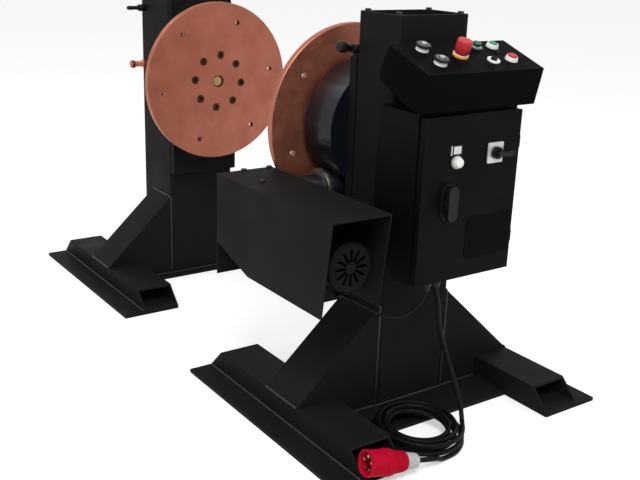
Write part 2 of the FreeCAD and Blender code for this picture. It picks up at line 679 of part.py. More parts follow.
# ---------------------------------------------------------------- tailstock spindle
def tail_bearing_housing():
    x0 = -TAIL_SEAT
    x1 = TAIL_DISC_BACK - SPINDLE_FLANGE_T - TAIL_BARREL_GAP
    flange = rod_x(x0, x0 + TAIL_FLANGE_T, 0, AXIS_Z, TAIL_FLANGE_R)
    barrel = rod_x(x0, x1, 0, AXIS_Z, TAIL_BARREL_R)
    body = fuse(flange, barrel).cut(rod_x(x0 - 1, x1 + 1, 0, AXIS_Z, TAIL_BEARING_R))
    for y, z in circle_points(HOUSING_BOLTS, HOUSING_BOLT_CIRCLE_R, 0):
        body = body.cut(rod_x(x0 - 1, x0 + TAIL_FLANGE_T + 1, y, AXIS_Z + z, HOUSING_BOLT_R + GAP))
    return body


def tail_bearings():
    x1 = TAIL_DISC_BACK - SPINDLE_FLANGE_T - TAIL_BARREL_GAP
    out = []
    for x0 in (-TAIL_SEAT + 2, x1 - TAIL_BEARING_T - 2):
        ring = rod_x(x0, x0 + TAIL_BEARING_T, 0, AXIS_Z, TAIL_BEARING_R)
        out.append(ring.cut(rod_x(x0 - 1, x0 + TAIL_BEARING_T + 1, 0, AXIS_Z, SPINDLE_R + SEAT)))
    return group(out)


def tail_spindle():
    """Flanged spindle that turns in the tailstock's two bearings."""
    back = TAIL_DISC_BACK
    flange = rod_x(back - SPINDLE_FLANGE_T, back, 0, AXIS_Z, SPINDLE_FLANGE_R)
    shaft = rod_x(-TAIL_FACE - SPINDLE_INTO_COLUMN, back - SPINDLE_FLANGE_T, 0, AXIS_Z, SPINDLE_R)
    body = fuse(flange, shaft)
    body = body.cut(rod_x(back - CENTRE_BOLT_LEN - 4, back + 1, 0, AXIS_Z, CENTRE_BOLT_R + GAP / 2))
    for y, z in circle_points(SCREW_COUNT, SCREW_CIRCLE_R, SCREW_TURN):
        body = body.cut(rod_x(back - SPINDLE_FLANGE_T + 1, back + 1, y, AXIS_Z + z, SCREW_R + GAP / 2))
    return body


def tail_centre_bolt():
    """Bolt in the tailstock disc's centre hole, its hexagon head below the face."""
    back = TAIL_DISC_BACK
    washer = rod_x(back, back + 3, 0, AXIS_Z, DISC_BORE_R - 1)
    head = hexagon(vec(back + 3, 0, AXIS_Z), VX, CENTRE_BOLT_ACROSS, 10.0)
    return fuse(washer, head, rod_x(back - CENTRE_BOLT_LEN, back, 0, AXIS_Z, CENTRE_BOLT_R))


def earth_stud():
    """Copper current stud on the tailstock column, with a nut at its root and one near its tip."""
    stud = rod_y(-TAIL_HALF - STUD_LEN, -TAIL_HALF, STUD_X, STUD_Z, STUD_R)
    root = hexagon(vec(STUD_X, -TAIL_HALF - 10, STUD_Z), VY, 27.0, 10.0)
    tip = hexagon(vec(STUD_X, -TAIL_HALF - STUD_LEN + 2, STUD_Z), VY, 24.0, 10.0)
    return fuse(stud, root, tip)


# ---------------------------------------------------------------- cabinet
def hinge_lugs():
    """Round lugs on the cabinet's side, above and below each door knuckle."""
    lugs = []
    for z in HINGE_Z:
        for z0 in (z - HINGE_LEN / 2 - GAP - HINGE_LUG, z + HINGE_LEN / 2 + GAP):
            eye = rod_z(z0, z0 + HINGE_LUG, HINGE_X, HINGE_Y, HINGE_R)
            arm = box((HINGE_X - 14, HINGE_X), (CAB_W / 2 - 1, HINGE_Y + HINGE_R), (z0, z0 + HINGE_LUG))
            lug = fuse(eye, arm)
            lugs.append(lug.cut(rod_z(z0 - 1, z0 + HINGE_LUG + 1, HINGE_X, HINGE_Y, HINGE_PIN_R)))
    return lugs


def cabinet_body():
    """Sheet cabinet, open to the front, with a rain channel round its mouth."""
    s = CAB_SHEET
    h = CAB_W / 2
    case = box((HEAD_OUT, CAB_FRONT), (-h, h), (CAB_LOW, CAB_TOP))
    case = case.cut(box((HEAD_OUT + s, CAB_FRONT - s), (-h + s, h - s), (CAB_LOW + s, CAB_TOP - s)))
    mouth_y = h - CHANNEL_INSET
    mouth_z = (CAB_LOW + 14, CAB_TOP - 18)
    lip = box((CAB_FRONT - s, CAB_FRONT + CHANNEL_H), (-mouth_y, mouth_y), mouth_z)
    case = fuse(case, lip)
    case = case.cut(box((CAB_FRONT - s - 1, CAB_FRONT + CHANNEL_H + 1), (-mouth_y + s, mouth_y - s),
                        (mouth_z[0] + s, mouth_z[1] - s)))
    case = fuse(case, *hinge_lugs())
    for z in HINGE_Z:
        low = z - HINGE_LEN / 2 - GAP
        case = case.cut(box((HINGE_X - HINGE_R - GAP, CAB_FRONT + 1), (HINGE_Y - HINGE_R - GAP, h + 20),
                            (low, z + HINGE_LEN / 2 + GAP)))
        case = case.cut(rod_z(low - HINGE_LUG, low + HINGE_LEN + 2 * GAP + HINGE_LUG, HINGE_X, HINGE_Y,
                              HINGE_PIN_R))
    return case


def hinge_pins():
    out = []
    for z in HINGE_Z:
        reach = HINGE_LEN / 2 + GAP + HINGE_LUG
        out.append(rod_z(z - reach, z + reach, HINGE_X, HINGE_Y, HINGE_PIN_R))
    return group(out)


HANDLE = (-70.0, 581.0)    # Y and Z of the door's fittings
SWITCH = (69.0, 682.0)
LAMP = (-50.0, 671.0)
TAG = (-53.0, 698.0)
BLANK = (68.0, 485.0)


def cabinet_door():
    """Shallow pan with two hinge knuckles and holes for its fittings."""
    s = CAB_SHEET
    pan = box((DOOR_BACK, DOOR_FACE), (-HALF_DOOR, HALF_DOOR), (DOOR_LOW, DOOR_TOP))
    pan = pan.cut(box((DOOR_BACK - 1, DOOR_FACE - s), (-HALF_DOOR + s, HALF_DOOR - s),
                      (DOOR_LOW + s, DOOR_TOP - s)))
    knuckles = []
    for z in HINGE_Z:
        span = (z - HINGE_LEN / 2, z + HINGE_LEN / 2)
        eye = rod_z(span[0], span[1], HINGE_X, HINGE_Y, HINGE_R)
        leaf = box((HINGE_X, DOOR_FACE - s), (HALF_DOOR - 0.5, HINGE_Y - 0.5), span)
        knuckles += [eye, leaf]
    pan = fuse(pan, *knuckles)
    cuts = [rod_z(z - HINGE_LEN, z + HINGE_LEN, HINGE_X, HINGE_Y, HINGE_PIN_R + SEAT) for z in HINGE_Z]
    for (y, z), r in ((HANDLE, 8.0), (SWITCH, 8.0), (LAMP, 11.0)):
        cuts.append(rod_x(DOOR_FACE - s - 1, DOOR_FACE + 1, y, z, r))
    return pan.cut(cuts)


def door_gasket():
    """Foam strip on the door's inside that meets the rain channel."""
    y = CAB_W / 2 - 9
    z0 = CAB_LOW + 11
    z1 = CAB_TOP - 15
    x0 = CAB_FRONT + CHANNEL_H + GAP
    ring = box((x0, DOOR_FACE - CAB_SHEET), (-y, y), (z0, z1))
    return ring.cut(box((x0 - 1, DOOR_FACE), (-y + 8, y - 8), (z0 + 8, z1 - 8)))


def door_handle_base():
    """Oval base of the door lock with its sleeve through the sheet."""
    y, z = HANDLE
    plate = box((DOOR_FACE, DOOR_FACE + 4), (y - 19, y + 19), (z - 23, z + 23))
    ends = [rod_x(DOOR_FACE, DOOR_FACE + 4, y, z + e, 19.0) for e in (-23, 23)]
    sleeve = rod_x(DOOR_FACE - CAB_SHEET - 6, DOOR_FACE, y, z, 7.7)
    return fuse(plate, sleeve, *ends).cut(rod_x(DOOR_FACE - 20, DOOR_FACE + 5, y, z, LOCK_R + SEAT))


def door_handle():
    """Oval wing handle with its hub and square-ended spindle."""
    y, z = HANDLE
    x0 = DOOR_FACE + 4 + GAP
    wing = box((x0 + 8, x0 + 20), (y - 14, y + 14), (z - 27, z + 27))
    ends = [rod_x(x0 + 8, x0 + 20, y, z + e, 14.0) for e in (-27, 27)]
    hub = rod_x(x0, x0 + 9, y, z, 15.0)
    spindle = rod_x(CAM_X - 2, x0 + 1, y, z, LOCK_R)
    return fuse(wing, hub, spindle, *ends)


def latch_cam():
    """Cam on the lock's spindle; it reaches out behind the door's edge."""
    y, z = HANDLE
    reach = CAB_W / 2 - CHANNEL_INSET - CAB_SHEET - 2
    bar = box((CAM_X, CAM_X + CAM_T), (-reach, y), (z - 9, z + 9))
    boss = rod_x(CAM_X, CAM_X + CAM_T, y, z, 12.0)
    return fuse(bar, boss).cut(rod_x(CAM_X - 1, CAM_X + CAM_T + 1, y, z, LOCK_R))


def door_plates():
    """Main switch plate, tag holder and a blank plate on the door."""
    y, z = SWITCH
    switch = box((DOOR_FACE, DOOR_FACE + 2.5), (y - 24, y + 24), (z - 24, z + 24))
    switch = rounded(switch, VX, 3.0).cut(rod_x(DOOR_FACE - 1, DOOR_FACE + 4, y, z, 8.0))
    y, z = TAG
    tag = rounded(box((DOOR_FACE, DOOR_FACE + 2), (y - 15, y + 15), (z - 11, z + 11)), VX, 2.0)
    y, z = BLANK
    blank = rounded(box((DOOR_FACE, DOOR_FACE + 1), (y - 71, y + 71), (z - 50, z + 50)), VX, 3.0)
    return group([switch, tag, blank])


def main_switch_handle():
    """Rotary handle of the main switch with its shaft through the door."""
    y, z = SWITCH
    x0 = DOOR_FACE + 2.5 + GAP
    boss = rod_x(x0, x0 + 10, y, z, 14.0)
    grip = box((x0 + 8, x0 + 24), (y - 13, y + 40), (z - 6, z + 6))
    shaft = rod_x(DOOR_FACE - 24, x0 + 1, y, z, 5.0)
    return fuse(boss, rounded(grip, VX, 4.0), shaft)


def pilot_lamp():
    """Lamp bezel and lens in front, body and nut behind the door."""
    y, z = LAMP
    bezel = rod_x(DOOR_FACE, DOOR_FACE + 5, y, z, LAMP_BEZEL_R)
    lens = rod_x(DOOR_FACE + 5, DOOR_FACE + 11, y, z, 12.5)
    edge = [e for e in lens.Edges if isinstance(e.Curve, Part.Circle)
            and abs(e.CenterOfMass.x - DOOR_FACE - 11) < 0.5]
    lens = lens.makeFillet(3.0, edge)
    stem = rod_x(DOOR_FACE - 34, DOOR_FACE, y, z, 11.0 - GAP / 2)
    nut = rod_x(DOOR_FACE - CAB_SHEET - 6, DOOR_FACE - CAB_SHEET, y, z, 14.0)
    return fuse(bezel, lens, stem, nut)


PANEL_X = HEAD_OUT + 20.0
PANEL_Z = (CAB_LOW + 30, CAB_TOP - 30)


def mounting_panel():
    """Galvanised panel on four spacers against the cabinet's back."""
    h = CAB_W / 2 - 26
    panel = box((PANEL_X, PANEL_X + 2.5), (-h, h), PANEL_Z)
    posts = [rod_x(HEAD_OUT + CAB_SHEET, PANEL_X, y, z, 6.0)
             for y in (-h + 12, h - 12) for z in (PANEL_Z[0] + 14, PANEL_Z[1] - 14)]
    return fuse(panel, *posts)


def electrical_devices():
    """Inverter, contactors on a rail, terminals and the main switch block on the panel."""
    x0 = PANEL_X + 2.5
    inverter = box((x0, x0 + 84), (-112, -28), (545, 735))
    ribs = [box((x0 + 84, x0 + 88), (-112 + 12 * k, -106 + 12 * k), (560, 720)) for k in range(7)]
    switch = box((x0, DOOR_FACE - 24 - GAP), (SWITCH[0] - 30, SWITCH[0] + 30),
                 (SWITCH[1] - 34, SWITCH[1] + 34))
    rail = box((x0, x0 + 7), (-115, 115), (450, 485))
    out = [fuse(inverter, *ribs), switch, rail]
    for k in range(5):
        y = -104.0 + 46.0 * k
        unit = box((x0 + 7, x0 + 62), (y, y + 42), (432, 503))
        top = box((x0 + 62, x0 + 78), (y + 8, y + 34), (446, 489))
        out.append(fuse(unit, top))
    return group(out)


GLAND_LEN = 22.0
LEAD_GLAND = (780.0, -92.0)
CORD_GLAND = (764.0, -50.0)
TERMINAL_GLAND_Y = (TERMINAL_Y[0] + TERMINAL_Y[1]) / 2 + 15


def gland(point, axis, across, length):
    """Cable gland: hexagon body and a domed clamping nut, outward along axis."""
    body = hexagon(point, axis, across, length * 0.45)
    tip = point + axis * (length * 0.45)
    nut = Part.makeCone(across * 0.48, across * 0.36, length * 0.55, tip, axis)
    return fuse(body, nut)


def cable_glands():
    lead = gland(vec(LEAD_GLAND[0], LEAD_GLAND[1], CAB_LOW), -VZ, 20.0, GLAND_LEN)
    cord = gland(vec(CORD_GLAND[0], CORD_GLAND[1], CAB_LOW), -VZ, 27.0, GLAND_LEN + 4)
    motor_end = gland(vec(TERMINAL_X[1], TERMINAL_GLAND_Y, TERMINAL_LOW + 16), VX, 20.0, GLAND_LEN)
    return group([lead, cord, motor_end])


# ---------------------------------------------------------------- console
def inset_outline(points, t):
    """The outline moved inwards by t, from each pair of neighbouring edges."""
    count = len(points)
    out = []
    for k in range(count):
        before, here, after = points[k - 1], points[k], points[(k + 1) % count]
        lines = []
        for a, b in ((before, here), (here, after)):
            dx, dz = b[0] - a[0], b[1] - a[1]
            size = math.hypot(dx, dz)
            nx, nz = dz / size, -dx / size
            lines.append((nx, nz, nx * a[0] + nz * a[1] + t))
        (a1, b1, c1), (a2, b2, c2) = lines
        det = a1 * b2 - a2 * b1
        out.append(((c1 * b2 - c2 * b1) / det, (a1 * c2 - a2 * c1) / det))
    return out


def console_pose(s, y):
    """Placement of a control: s up the sloping top from its front edge, y across it."""
    back, front = CONSOLE_SIDE[0], CONSOLE_SIDE[1]
    dx, dz = back[0] - front[0], back[1] - front[1]
    size = math.hypot(dx, dz)
    tilt = math.degrees(math.atan2(dz, -dx))
    point = vec(front[0] + dx * s / size, y, front[1] + dz * s / size)
    return FreeCAD.Placement(point, FreeCAD.Rotation(VY, tilt))


CONTROLS = {"speed_knob_left": (113.0, -104.0), "speed_knob_right": (47.0, -104.0), "estop": (77.0, -21.0),
            "reset": (113.0, 57.0), "start": (113.0, 108.0), "joystick": (47.0, 54.0), "stop": (47.0, 110.0)}


def placed(shape, name):
    shape = shape.copy()
    shape.Placement = console_pose(*CONTROLS[name]).multiply(shape.Placement)
    return shape


def console_shell():
    """Folded shell with a sloping top; the underside is closed by the base pan."""
    t = CONSOLE_SHEET
    half = CONSOLE_W / 2
    shell = prism_y(list(CONSOLE_SIDE), -half, half)
    inner = inset_outline(CONSOLE_SIDE, t)
    under = [CONSOLE_SIDE[2], CONSOLE_SIDE[3], CONSOLE_SIDE[4]]
    void = prism_y(inner, -half + t, half - t)
    shell = shell.cut(void)
    slot = [inner[2], inner[3], inner[4], (under[2][0] + t, under[2][1] - 9), (under[1][0], under[1][1] - 9),
            (under[0][0] - t, under[0][1] - 9)]
    shell = shell.cut(prism_y(slot, -half + t, half - t))
    for name in CONTROLS:
        hole = rod_z(-12, 12, 0, 0, STEM_R + GAP)
        shell = shell.cut(placed(hole, name))
    return shell


def console_base():
    """Base pan of the console and the saddle that carries it from column and cabinet."""
    t = CONSOLE_SHEET
    half = CONSOLE_W / 2 - t
    inner = inset_outline(CONSOLE_SIDE, t)
    front, mid, back = inner[2], inner[3], inner[4]
    low = [(front[0], front[1] - t), (mid[0], mid[1] - t), (back[0], back[1] - t)]
    pan = prism_y([front, mid, back] + low[::-1], -half, half)
    arm = prism_y([(HEAD_OUT, 846), (CONSOLE_SIDE[5][0], 846), CONSOLE_SIDE[5], (690, 908), (HEAD_OUT, 908)],
                  -60, 60)
    cradle = prism_y([(HEAD_OUT, CAB_TOP), (CAB_FRONT - 40, CAB_TOP), (CAB_FRONT - 40, CAB_TOP + 10),
                      (back[0], back[1] - t), (HEAD_OUT, back[1] - t)], -70, 70)
    saddle = fuse(arm, cradle).cut(prism_y(list(CONSOLE_SIDE), -half - t, half + t))
    return group([pan.cut(console_shell()), saddle])


def collar(low_r, high_r, height):
    """Bezel that tapers to its rim, on a threaded stem."""
    ring = rod_z(0, height, 0, 0, low_r)
    if high_r < low_r:
        ring = Part.makeCone(low_r, high_r, height, vec(0, 0, 0), VZ)
    stem = rod_z(-STEM_LEN, 0, 0, 0, STEM_R)
    return fuse(ring, stem).cut(rod_z(-STEM_LEN + PLUNGER_END, height + 1, 0, 0, PLUNGER_R + GAP))


def control_collars():
    """Bezels with their threaded stems and the switch blocks under the panel."""
    out = []
    for name in CONTROLS:
        if name == "estop":
            one = collar(ESTOP_R + 0.5, ESTOP_R + 0.5, ESTOP_COLLAR_H)
        elif name in ("reset", "joystick"):
            one = collar(COLLAR_R, COLLAR_R, COLLAR_H)
        else:
            one = collar(COLLAR_R, COLLAR_TOP_R, COLLAR_TALL_H)
        if name in ("start", "stop"):
            one = one.cut(rod_z(WELL_FLOOR, COLLAR_TALL_H + 1, 0, 0, PUSH_R + GAP))
        block = box((-12, 12), (-15, 15), (-STEM_LEN - 18, -STEM_LEN))
        out.append(placed(fuse(one, block), name))
    return group(out)


def button(cap_r, top, base):
    """Push button: a cap that stops its travel above `base`, and a plunger in the stem."""
    low = base + BUTTON_TRAVEL + GAP
    cap = rod_z(low, top, 0, 0, cap_r)
    edge = [e for e in cap.Edges if isinstance(e.Curve, Part.Circle) and abs(e.CenterOfMass.z - top) < 0.1]
    cap = cap.makeFillet(1.5, edge)
    return fuse(cap, rod_z(-STEM_LEN + PLUNGER_END + BUTTON_TRAVEL + GAP, low, 0, 0, PLUNGER_R))


def estop_button():
    low = ESTOP_COLLAR_H + BUTTON_TRAVEL + GAP
    neck = rod_z(-STEM_LEN + PLUNGER_END + BUTTON_TRAVEL + GAP, low + 2, 0, 0, PLUNGER_R)
    head = Part.makeCone(ESTOP_R - 0.8, ESTOP_R, ESTOP_TOP - low, vec(0, 0, low), VZ)
    top = [e for e in head.Edges
           if isinstance(e.Curve, Part.Circle) and abs(e.CenterOfMass.z - ESTOP_TOP) < 0.1]
    return fuse(head.makeFillet(4.0, top), neck)


def speed_knob():
    """Flat turning knob with grip flutes, a raised hub and a pointer ridge."""
    low = COLLAR_TALL_H + GAP
    top = low + KNOB_T
    knob = rod_z(low, top, 0, 0, KNOB_R)
    rim = [e for e in knob.Edges if isinstance(e.Curve, Part.Circle) and abs(e.CenterOfMass.z - top) < 0.1]
    knob = knob.makeFillet(1.5, rim)
    cuts = []
    for k in range(KNOB_FLUTES):
        flute = rod_z(low - 1, top + 1, KNOB_R + 1.5, 0, 2.2)
        flute.rotate(vec(0, 0, 0), VZ, 360.0 * (k + 0.5) / KNOB_FLUTES)
        cuts.append(flute)
    knob = knob.cut(cuts)
    hub = rod_z(low, top + 3, 0, 0, KNOB_HUB_R)
    ridge = box((0, KNOB_R - 1.5), (-1.2, 1.2), (low + 3, top + 0.8))
    return fuse(knob, hub, ridge, rod_z(-STEM_LEN + PLUNGER_END + GAP, low + 1, 0, 0, 3.0))


JOYSTICK_PIVOT = 3.0
JOYSTICK_TOP = 28.0


def joystick():
    """Lever on a ball in the bezel, with a rounded grip."""
    ball = Part.makeSphere(7.6, vec(0, 0, JOYSTICK_PIVOT))
    lever = rod_z(JOYSTICK_PIVOT, JOYSTICK_TOP - 6, 0, 0, 3.0)
    grip = Part.makeCone(3.4, 5.0, 10.0, vec(0, 0, JOYSTICK_TOP - 15), VZ)
    cap = Part.makeSphere(5.0, vec(0, 0, JOYSTICK_TOP - 5))
    return fuse(ball, lever, grip, cap)


# ---------------------------------------------------------------- cords
def tube(points, radius, name):
    """A round tube of straight runs joined by tangent arcs; prints its radii and checks its volume."""
    pts = [vec(*p) for p in points]
    edges = []
    radii = []
    start = pts[0]
    for before, here, after in zip(pts, pts[1:], pts[2:]):
        a = before - here
        b = after - here
        run = min(a.Length, b.Length)
        a.normalize()
        b.normalize()
        turn = math.pi - a.getAngle(b)
        back = 0.45 * run
        bend = back / math.tan(turn / 2)
        radii.append(bend)
        p0 = here + a * back
        p1 = here + b * back
        middle = (a + b).normalize()
        centre_gap = bend / math.cos(turn / 2)
        mid = here + middle * (centre_gap - bend)
        edges.append(Part.LineSegment(start, p0).toShape())
        edges.append(Part.Arc(p0, mid, p1).toShape())
        start = p1
    edges.append(Part.LineSegment(start, pts[-1]).toShape())
    path = Part.Wire(edges)
    first = (pts[1] - pts[0]).normalize()
    ring = Part.Wire([Part.Circle(pts[0], first, radius).toShape()])
    solid = path.makePipeShell([ring], True, False)
    want = math.pi * radius ** 2 * path.Length
    print(name, "length", round(path.Length, 1), "volume ratio", round(solid.Volume / want, 4),
          "radii", [round(r) for r in radii])
    return solid


LEAD_POINTS = (
    (TERMINAL_X[1] + GLAND_LEN, TERMINAL_GLAND_Y, TERMINAL_LOW + 16), (760, -283, 368), (780, -255, 350),
    (786, -220, 330), (784, -185, 318), (782, -150, 317), (781, -119, 327), (780, -98, 344),
    (LEAD_GLAND[0], LEAD_GLAND[1], CAB_LOW - GLAND_LEN))

CORD_POINTS = (
    (CORD_GLAND[0], CORD_GLAND[1], CAB_LOW - GLAND_LEN - 4), (765, -36, 325), (770, -37, 276),
    (782, -28, 222), (800, -17, 168), (822, -12, 120), (846, -13, 82), (868, -22, 54))

TAIL_POINTS = ((927, -128, 16), (930, -152, 19), (930, -183, 25), PLUG_TAIL)


def coil_lean():
    """Angle at which the coil leans on the cross plate's edge with its front on the floor."""
    return math.atan(PLATE_T / (COIL_OUT_R - COIL_ROUND + COIL_CENTRE[0] - BRIDGE_OUT))


def cord_coil():
    """Closed ring of the coil's outer shape."""
    x, y = COIL_CENTRE
    ring = rod_z(0, COIL_H, x, y, COIL_OUT_R).cut(rod_z(-1, COIL_H + 1, x, y, COIL_IN_R))
    edges = [e for e in ring.Edges if isinstance(e.Curve, Part.Circle)]
    ring = ring.makeFillet(COIL_ROUND, edges)
    lift = (COIL_OUT_R - COIL_ROUND) * math.tan(coil_lean()) + SEAT
    ring.rotate(vec(x, y, 0), VY, math.degrees(coil_lean()))
    ring.translate(vec(0, 0, lift))
    return ring


def power_cord(glands, coil, plug):
    """The run from the cabinet to the coil and the short run from the coil to the plug."""
    down = tube(CORD_POINTS, CORD_R, "power_cord")
    tail = tube(TAIL_POINTS, CORD_R, "cord_tail")
    return group([down.cut(glands).cut(coil), tail.cut(coil).cut(plug)])


def plug_place():
    """Placement with local Z from the cable nut to the open sleeve."""
    tail = vec(*PLUG_TAIL)
    direction = vec(*PLUG_TIP) - tail
    return FreeCAD.Placement(tail, FreeCAD.Rotation(VZ, direction)), direction.Length


def plug_body():
    """Cable nut, body, shoulder and the open protective sleeve."""
    place, length = plug_place()
    nut = Part.makeCone(13.0, 19.0, 34.0, vec(0, 0, 0), VZ)
    body = Part.makeCone(21.0, 27.0, 46.0, vec(0, 0, 34), VZ)
    shoulder = rod_z(80, 92, 0, 0, PLUG_R)
    sleeve = rod_z(92, length, 0, 0, PLUG_R - 1.5).cut(rod_z(96, length + 1, 0, 0, PLUG_R - 4.5))
    whole = fuse(nut, body, shoulder, sleeve)
    whole.Placement = place
    return whole


def plug_pins():
    place, length = plug_place()
    out = []
    for k in range(5):
        a = math.radians(90 + 72 * k)
        r = 3.5 if k == 0 else 2.8
        out.append(rod_z(96, length - 6, 15.5 * math.cos(a), 15.5 * math.sin(a), r))
    pins = group(out)
    pins.Placement = place
    return pins


def build():
    os.makedirs("parts", exist_ok=True)
    save("head_base_plate", base_plate())
    save("tail_base_plate", mirror_x(base_plate()))
    save("fork_pockets", group([fork_pockets(), mirror_x(fork_pockets())]))
    save("head_column", column(HEAD_BOX))
    save("tail_column", mirror_x(column(TAIL_BOX)))
    save("gussets", group([group(gussets(HEAD_BOX)), mirror_x(group(gussets(TAIL_BOX)))]))
    save("column_caps", group([column_cap(HEAD_BOX), mirror_x(column_cap(TAIL_BOX))]))
    save("mount_plates", group([mount_plate(MOUNT_X, HEAD_HALF, HEAD_PLATE_LOW),
                                mount_plate(-TAIL_FACE, TAIL_HALF, TAIL_PLATE_LOW)]))
    save("cable_hooks", cable_hooks())
    save("earth_stud", earth_stud())

    save("slew_housing", slew_housing())
    save("housing_bolts", housing_bolts())
    save("slew_ring", slew_ring())
    save("slew_balls", slew_balls())
    save("head_faceplate", faceplate(HEAD_DISC_X, HEAD_CLAMP_CIRCLE_R, HEAD_CLAMP_TURN))
    save("head_faceplate_screws", faceplate_screws(HEAD_DISC_X))
    save("worm_shaft", worm_shaft())
    save("worm_bearings", worm_bearings())
    save("worm_end_caps", worm_end_caps())
    save("reducer", reducer())
    save("motor", motor())
    save("motor_fan_cover", motor_fan_cover())
    save("motor_terminal_box", terminal_box())
    save("drive_cover", drive_cover())
    save("cover_screws", cover_screws())
    save("drive_bracket", drive_bracket())
    glands = cable_glands()
    save("motor_cable", tube(LEAD_POINTS, LEAD_R, "motor_cable").cut(glands))

    save("tail_bearing_housing", tail_bearing_housing())
    save("tail_bearings", tail_bearings())
    save("tail_spindle", tail_spindle())
    save("tail_faceplate", mirror_x(faceplate(TAIL_DISC_X, TAIL_CLAMP_CIRCLE_R, TAIL_CLAMP_TURN)))
    save("tail_faceplate_screws", mirror_x(faceplate_screws(TAIL_DISC_X)))
    save("tail_centre_bolt", tail_centre_bolt())

    save("cabinet_body", cabinet_body())
    save("cabinet_door", cabinet_door())
    save("door_gasket", door_gasket())
    save("hinge_pins", hinge_pins())
    save("door_handle_base", door_handle_base())
    save("door_handle", door_handle())
    save("latch_cam", latch_cam())
    save("door_plates", door_plates())
    save("main_switch_handle", main_switch_handle())
    save("pilot_lamp", pilot_lamp())
    save("mounting_plate", mounting_panel())
    save("electrical_devices", electrical_devices())
    save("cable_glands", glands)

    save("console_shell", console_shell())
    save("console_floor", console_base())
    save("control_collars", control_collars())
    save("estop_button", placed(estop_button(), "estop"))
    save("start_button", placed(button(PUSH_R, START_TOP, WELL_FLOOR), "start"))
    save("stop_button", placed(button(PUSH_R, STOP_TOP, WELL_FLOOR), "stop"))
    save("reset_button", placed(button(PUSH_R, RESET_TOP, COLLAR_H), "reset"))
    save("speed_knob_left", placed(speed_knob(), "speed_knob_left"))
    save("speed_knob_right", placed(speed_knob(), "speed_knob_right"))
    save("joystick", placed(joystick(), "joystick"))

    coil = cord_coil()
    plug = plug_body()
    save("power_cord", power_cord(glands, coil, plug))
    save("power_cord_coil", coil)
    save("plug_body", plug)
    save("plug_pins", plug_pins())


build()
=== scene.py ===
import json
import math
import random

import bmesh
import bpy
from mathutils import Matrix, Vector


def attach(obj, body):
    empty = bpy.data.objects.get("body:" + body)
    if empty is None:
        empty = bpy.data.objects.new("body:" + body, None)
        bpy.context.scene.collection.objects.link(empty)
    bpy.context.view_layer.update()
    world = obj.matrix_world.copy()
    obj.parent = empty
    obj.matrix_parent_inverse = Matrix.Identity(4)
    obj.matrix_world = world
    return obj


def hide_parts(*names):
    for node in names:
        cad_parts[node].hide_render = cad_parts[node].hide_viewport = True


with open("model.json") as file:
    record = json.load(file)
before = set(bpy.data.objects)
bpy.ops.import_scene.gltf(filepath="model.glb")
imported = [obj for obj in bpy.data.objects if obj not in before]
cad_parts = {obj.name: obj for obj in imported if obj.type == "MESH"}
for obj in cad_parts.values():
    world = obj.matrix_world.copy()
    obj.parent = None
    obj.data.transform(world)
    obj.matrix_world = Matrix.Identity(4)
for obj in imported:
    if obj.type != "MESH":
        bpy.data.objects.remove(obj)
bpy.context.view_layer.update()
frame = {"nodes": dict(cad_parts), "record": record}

NODES = frame["nodes"]
scene = bpy.context.scene
random.seed(7)
TAU = 2 * math.pi

# ---------------------------------------------------------------- camera
EYE = Vector((2.278, -1.464, 1.130))
FORWARD = Vector((-0.7755, 0.5516, -0.3071)).normalized()
ROLL = 0.0362277
LENS_MM = 52.15
SENSOR_MM = 36.0


def make_camera():
    right = FORWARD.cross(Vector((0, 0, 1))).normalized()
    up = right.cross(FORWARD)
    side = math.cos(ROLL) * right + math.sin(ROLL) * up
    top = -math.sin(ROLL) * right + math.cos(ROLL) * up
    data = bpy.data.cameras.new("camera")
    data.lens = LENS_MM
    data.sensor_width = SENSOR_MM
    cam = bpy.data.objects.new("camera", data)
    scene.collection.objects.link(cam)
    turn = Matrix((side, top, -FORWARD)).transposed().to_4x4()
    cam.matrix_world = Matrix.Translation(EYE) @ turn
    scene.camera = cam


make_camera()

# ---------------------------------------------------------------- small helpers
def srgb(r, g, b):
    """Linear colour of an 8-bit sRGB triple."""
    linear = (((c / 255 + 0.055) / 1.055) ** 2.4 if c > 10 else c / 255 / 12.92 for c in (r, g, b))
    return (*linear, 1.0)


def link(obj, body):
    scene.collection.objects.link(obj)
    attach(obj, body)
    return obj


def mesh_object(name, bm, material, body, smooth=32.0):
    """Turn a bmesh into a piece that rides on a body; faces meet sharply above `smooth` degrees."""
    bmesh.ops.recalc_face_normals(bm, faces=bm.faces)
    mesh = bpy.data.meshes.new(name)
    bm.to_mesh(mesh)
    bm.free()
    for f in mesh.polygons:
        f.use_smooth = True
    mesh.set_sharp_from_angle(angle=math.radians(smooth))
    mesh.materials.append(material)
    return link(bpy.data.objects.new(name, mesh), body)


def frame_on(origin, axis, near=(0, 0, 1)):
    """Matrix with its Z along axis, its X as near as possible to `near`."""
    z = Vector(axis).normalized()
    x = Vector(near) - z * z.dot(Vector(near))
    if x.length < 1e-4:
        x = Vector((1, 0, 0)) - z * z.x
    x.normalize()
    turn = Matrix((x, z.cross(x), z)).transposed().to_4x4()
    return Matrix.Translation(Vector(origin)) @ turn


def lathe(bm, place, profile, count=40, wave=0.0, waves=0):
    """Revolve (radius, height) pairs about the local Z; wave flutes the radius."""
    rings = []
    for r, h in profile:
        if r < 1e-6:
            rings.append([bm.verts.new(place @ Vector((0, 0, h)))])
            continue
        ring = []
        for k in range(count):
            a = TAU * k / count
            rr = r * (1 + wave * math.cos(waves * a))
            ring.append(bm.verts.new(place @ Vector((rr * math.cos(a), rr * math.sin(a), h))))
        rings.append(ring)
    for low, high in zip(rings, rings[1:]):
        n = max(len(low), len(high))
        for k in range(n):
            after = k + 1
            corners = (low[k % len(low)], low[after % len(low)],
                       high[after % len(high)], high[k % len(high)])
            keep = list(dict.fromkeys(corners))
            if len(keep) > 2:
                bm.faces.new(keep)


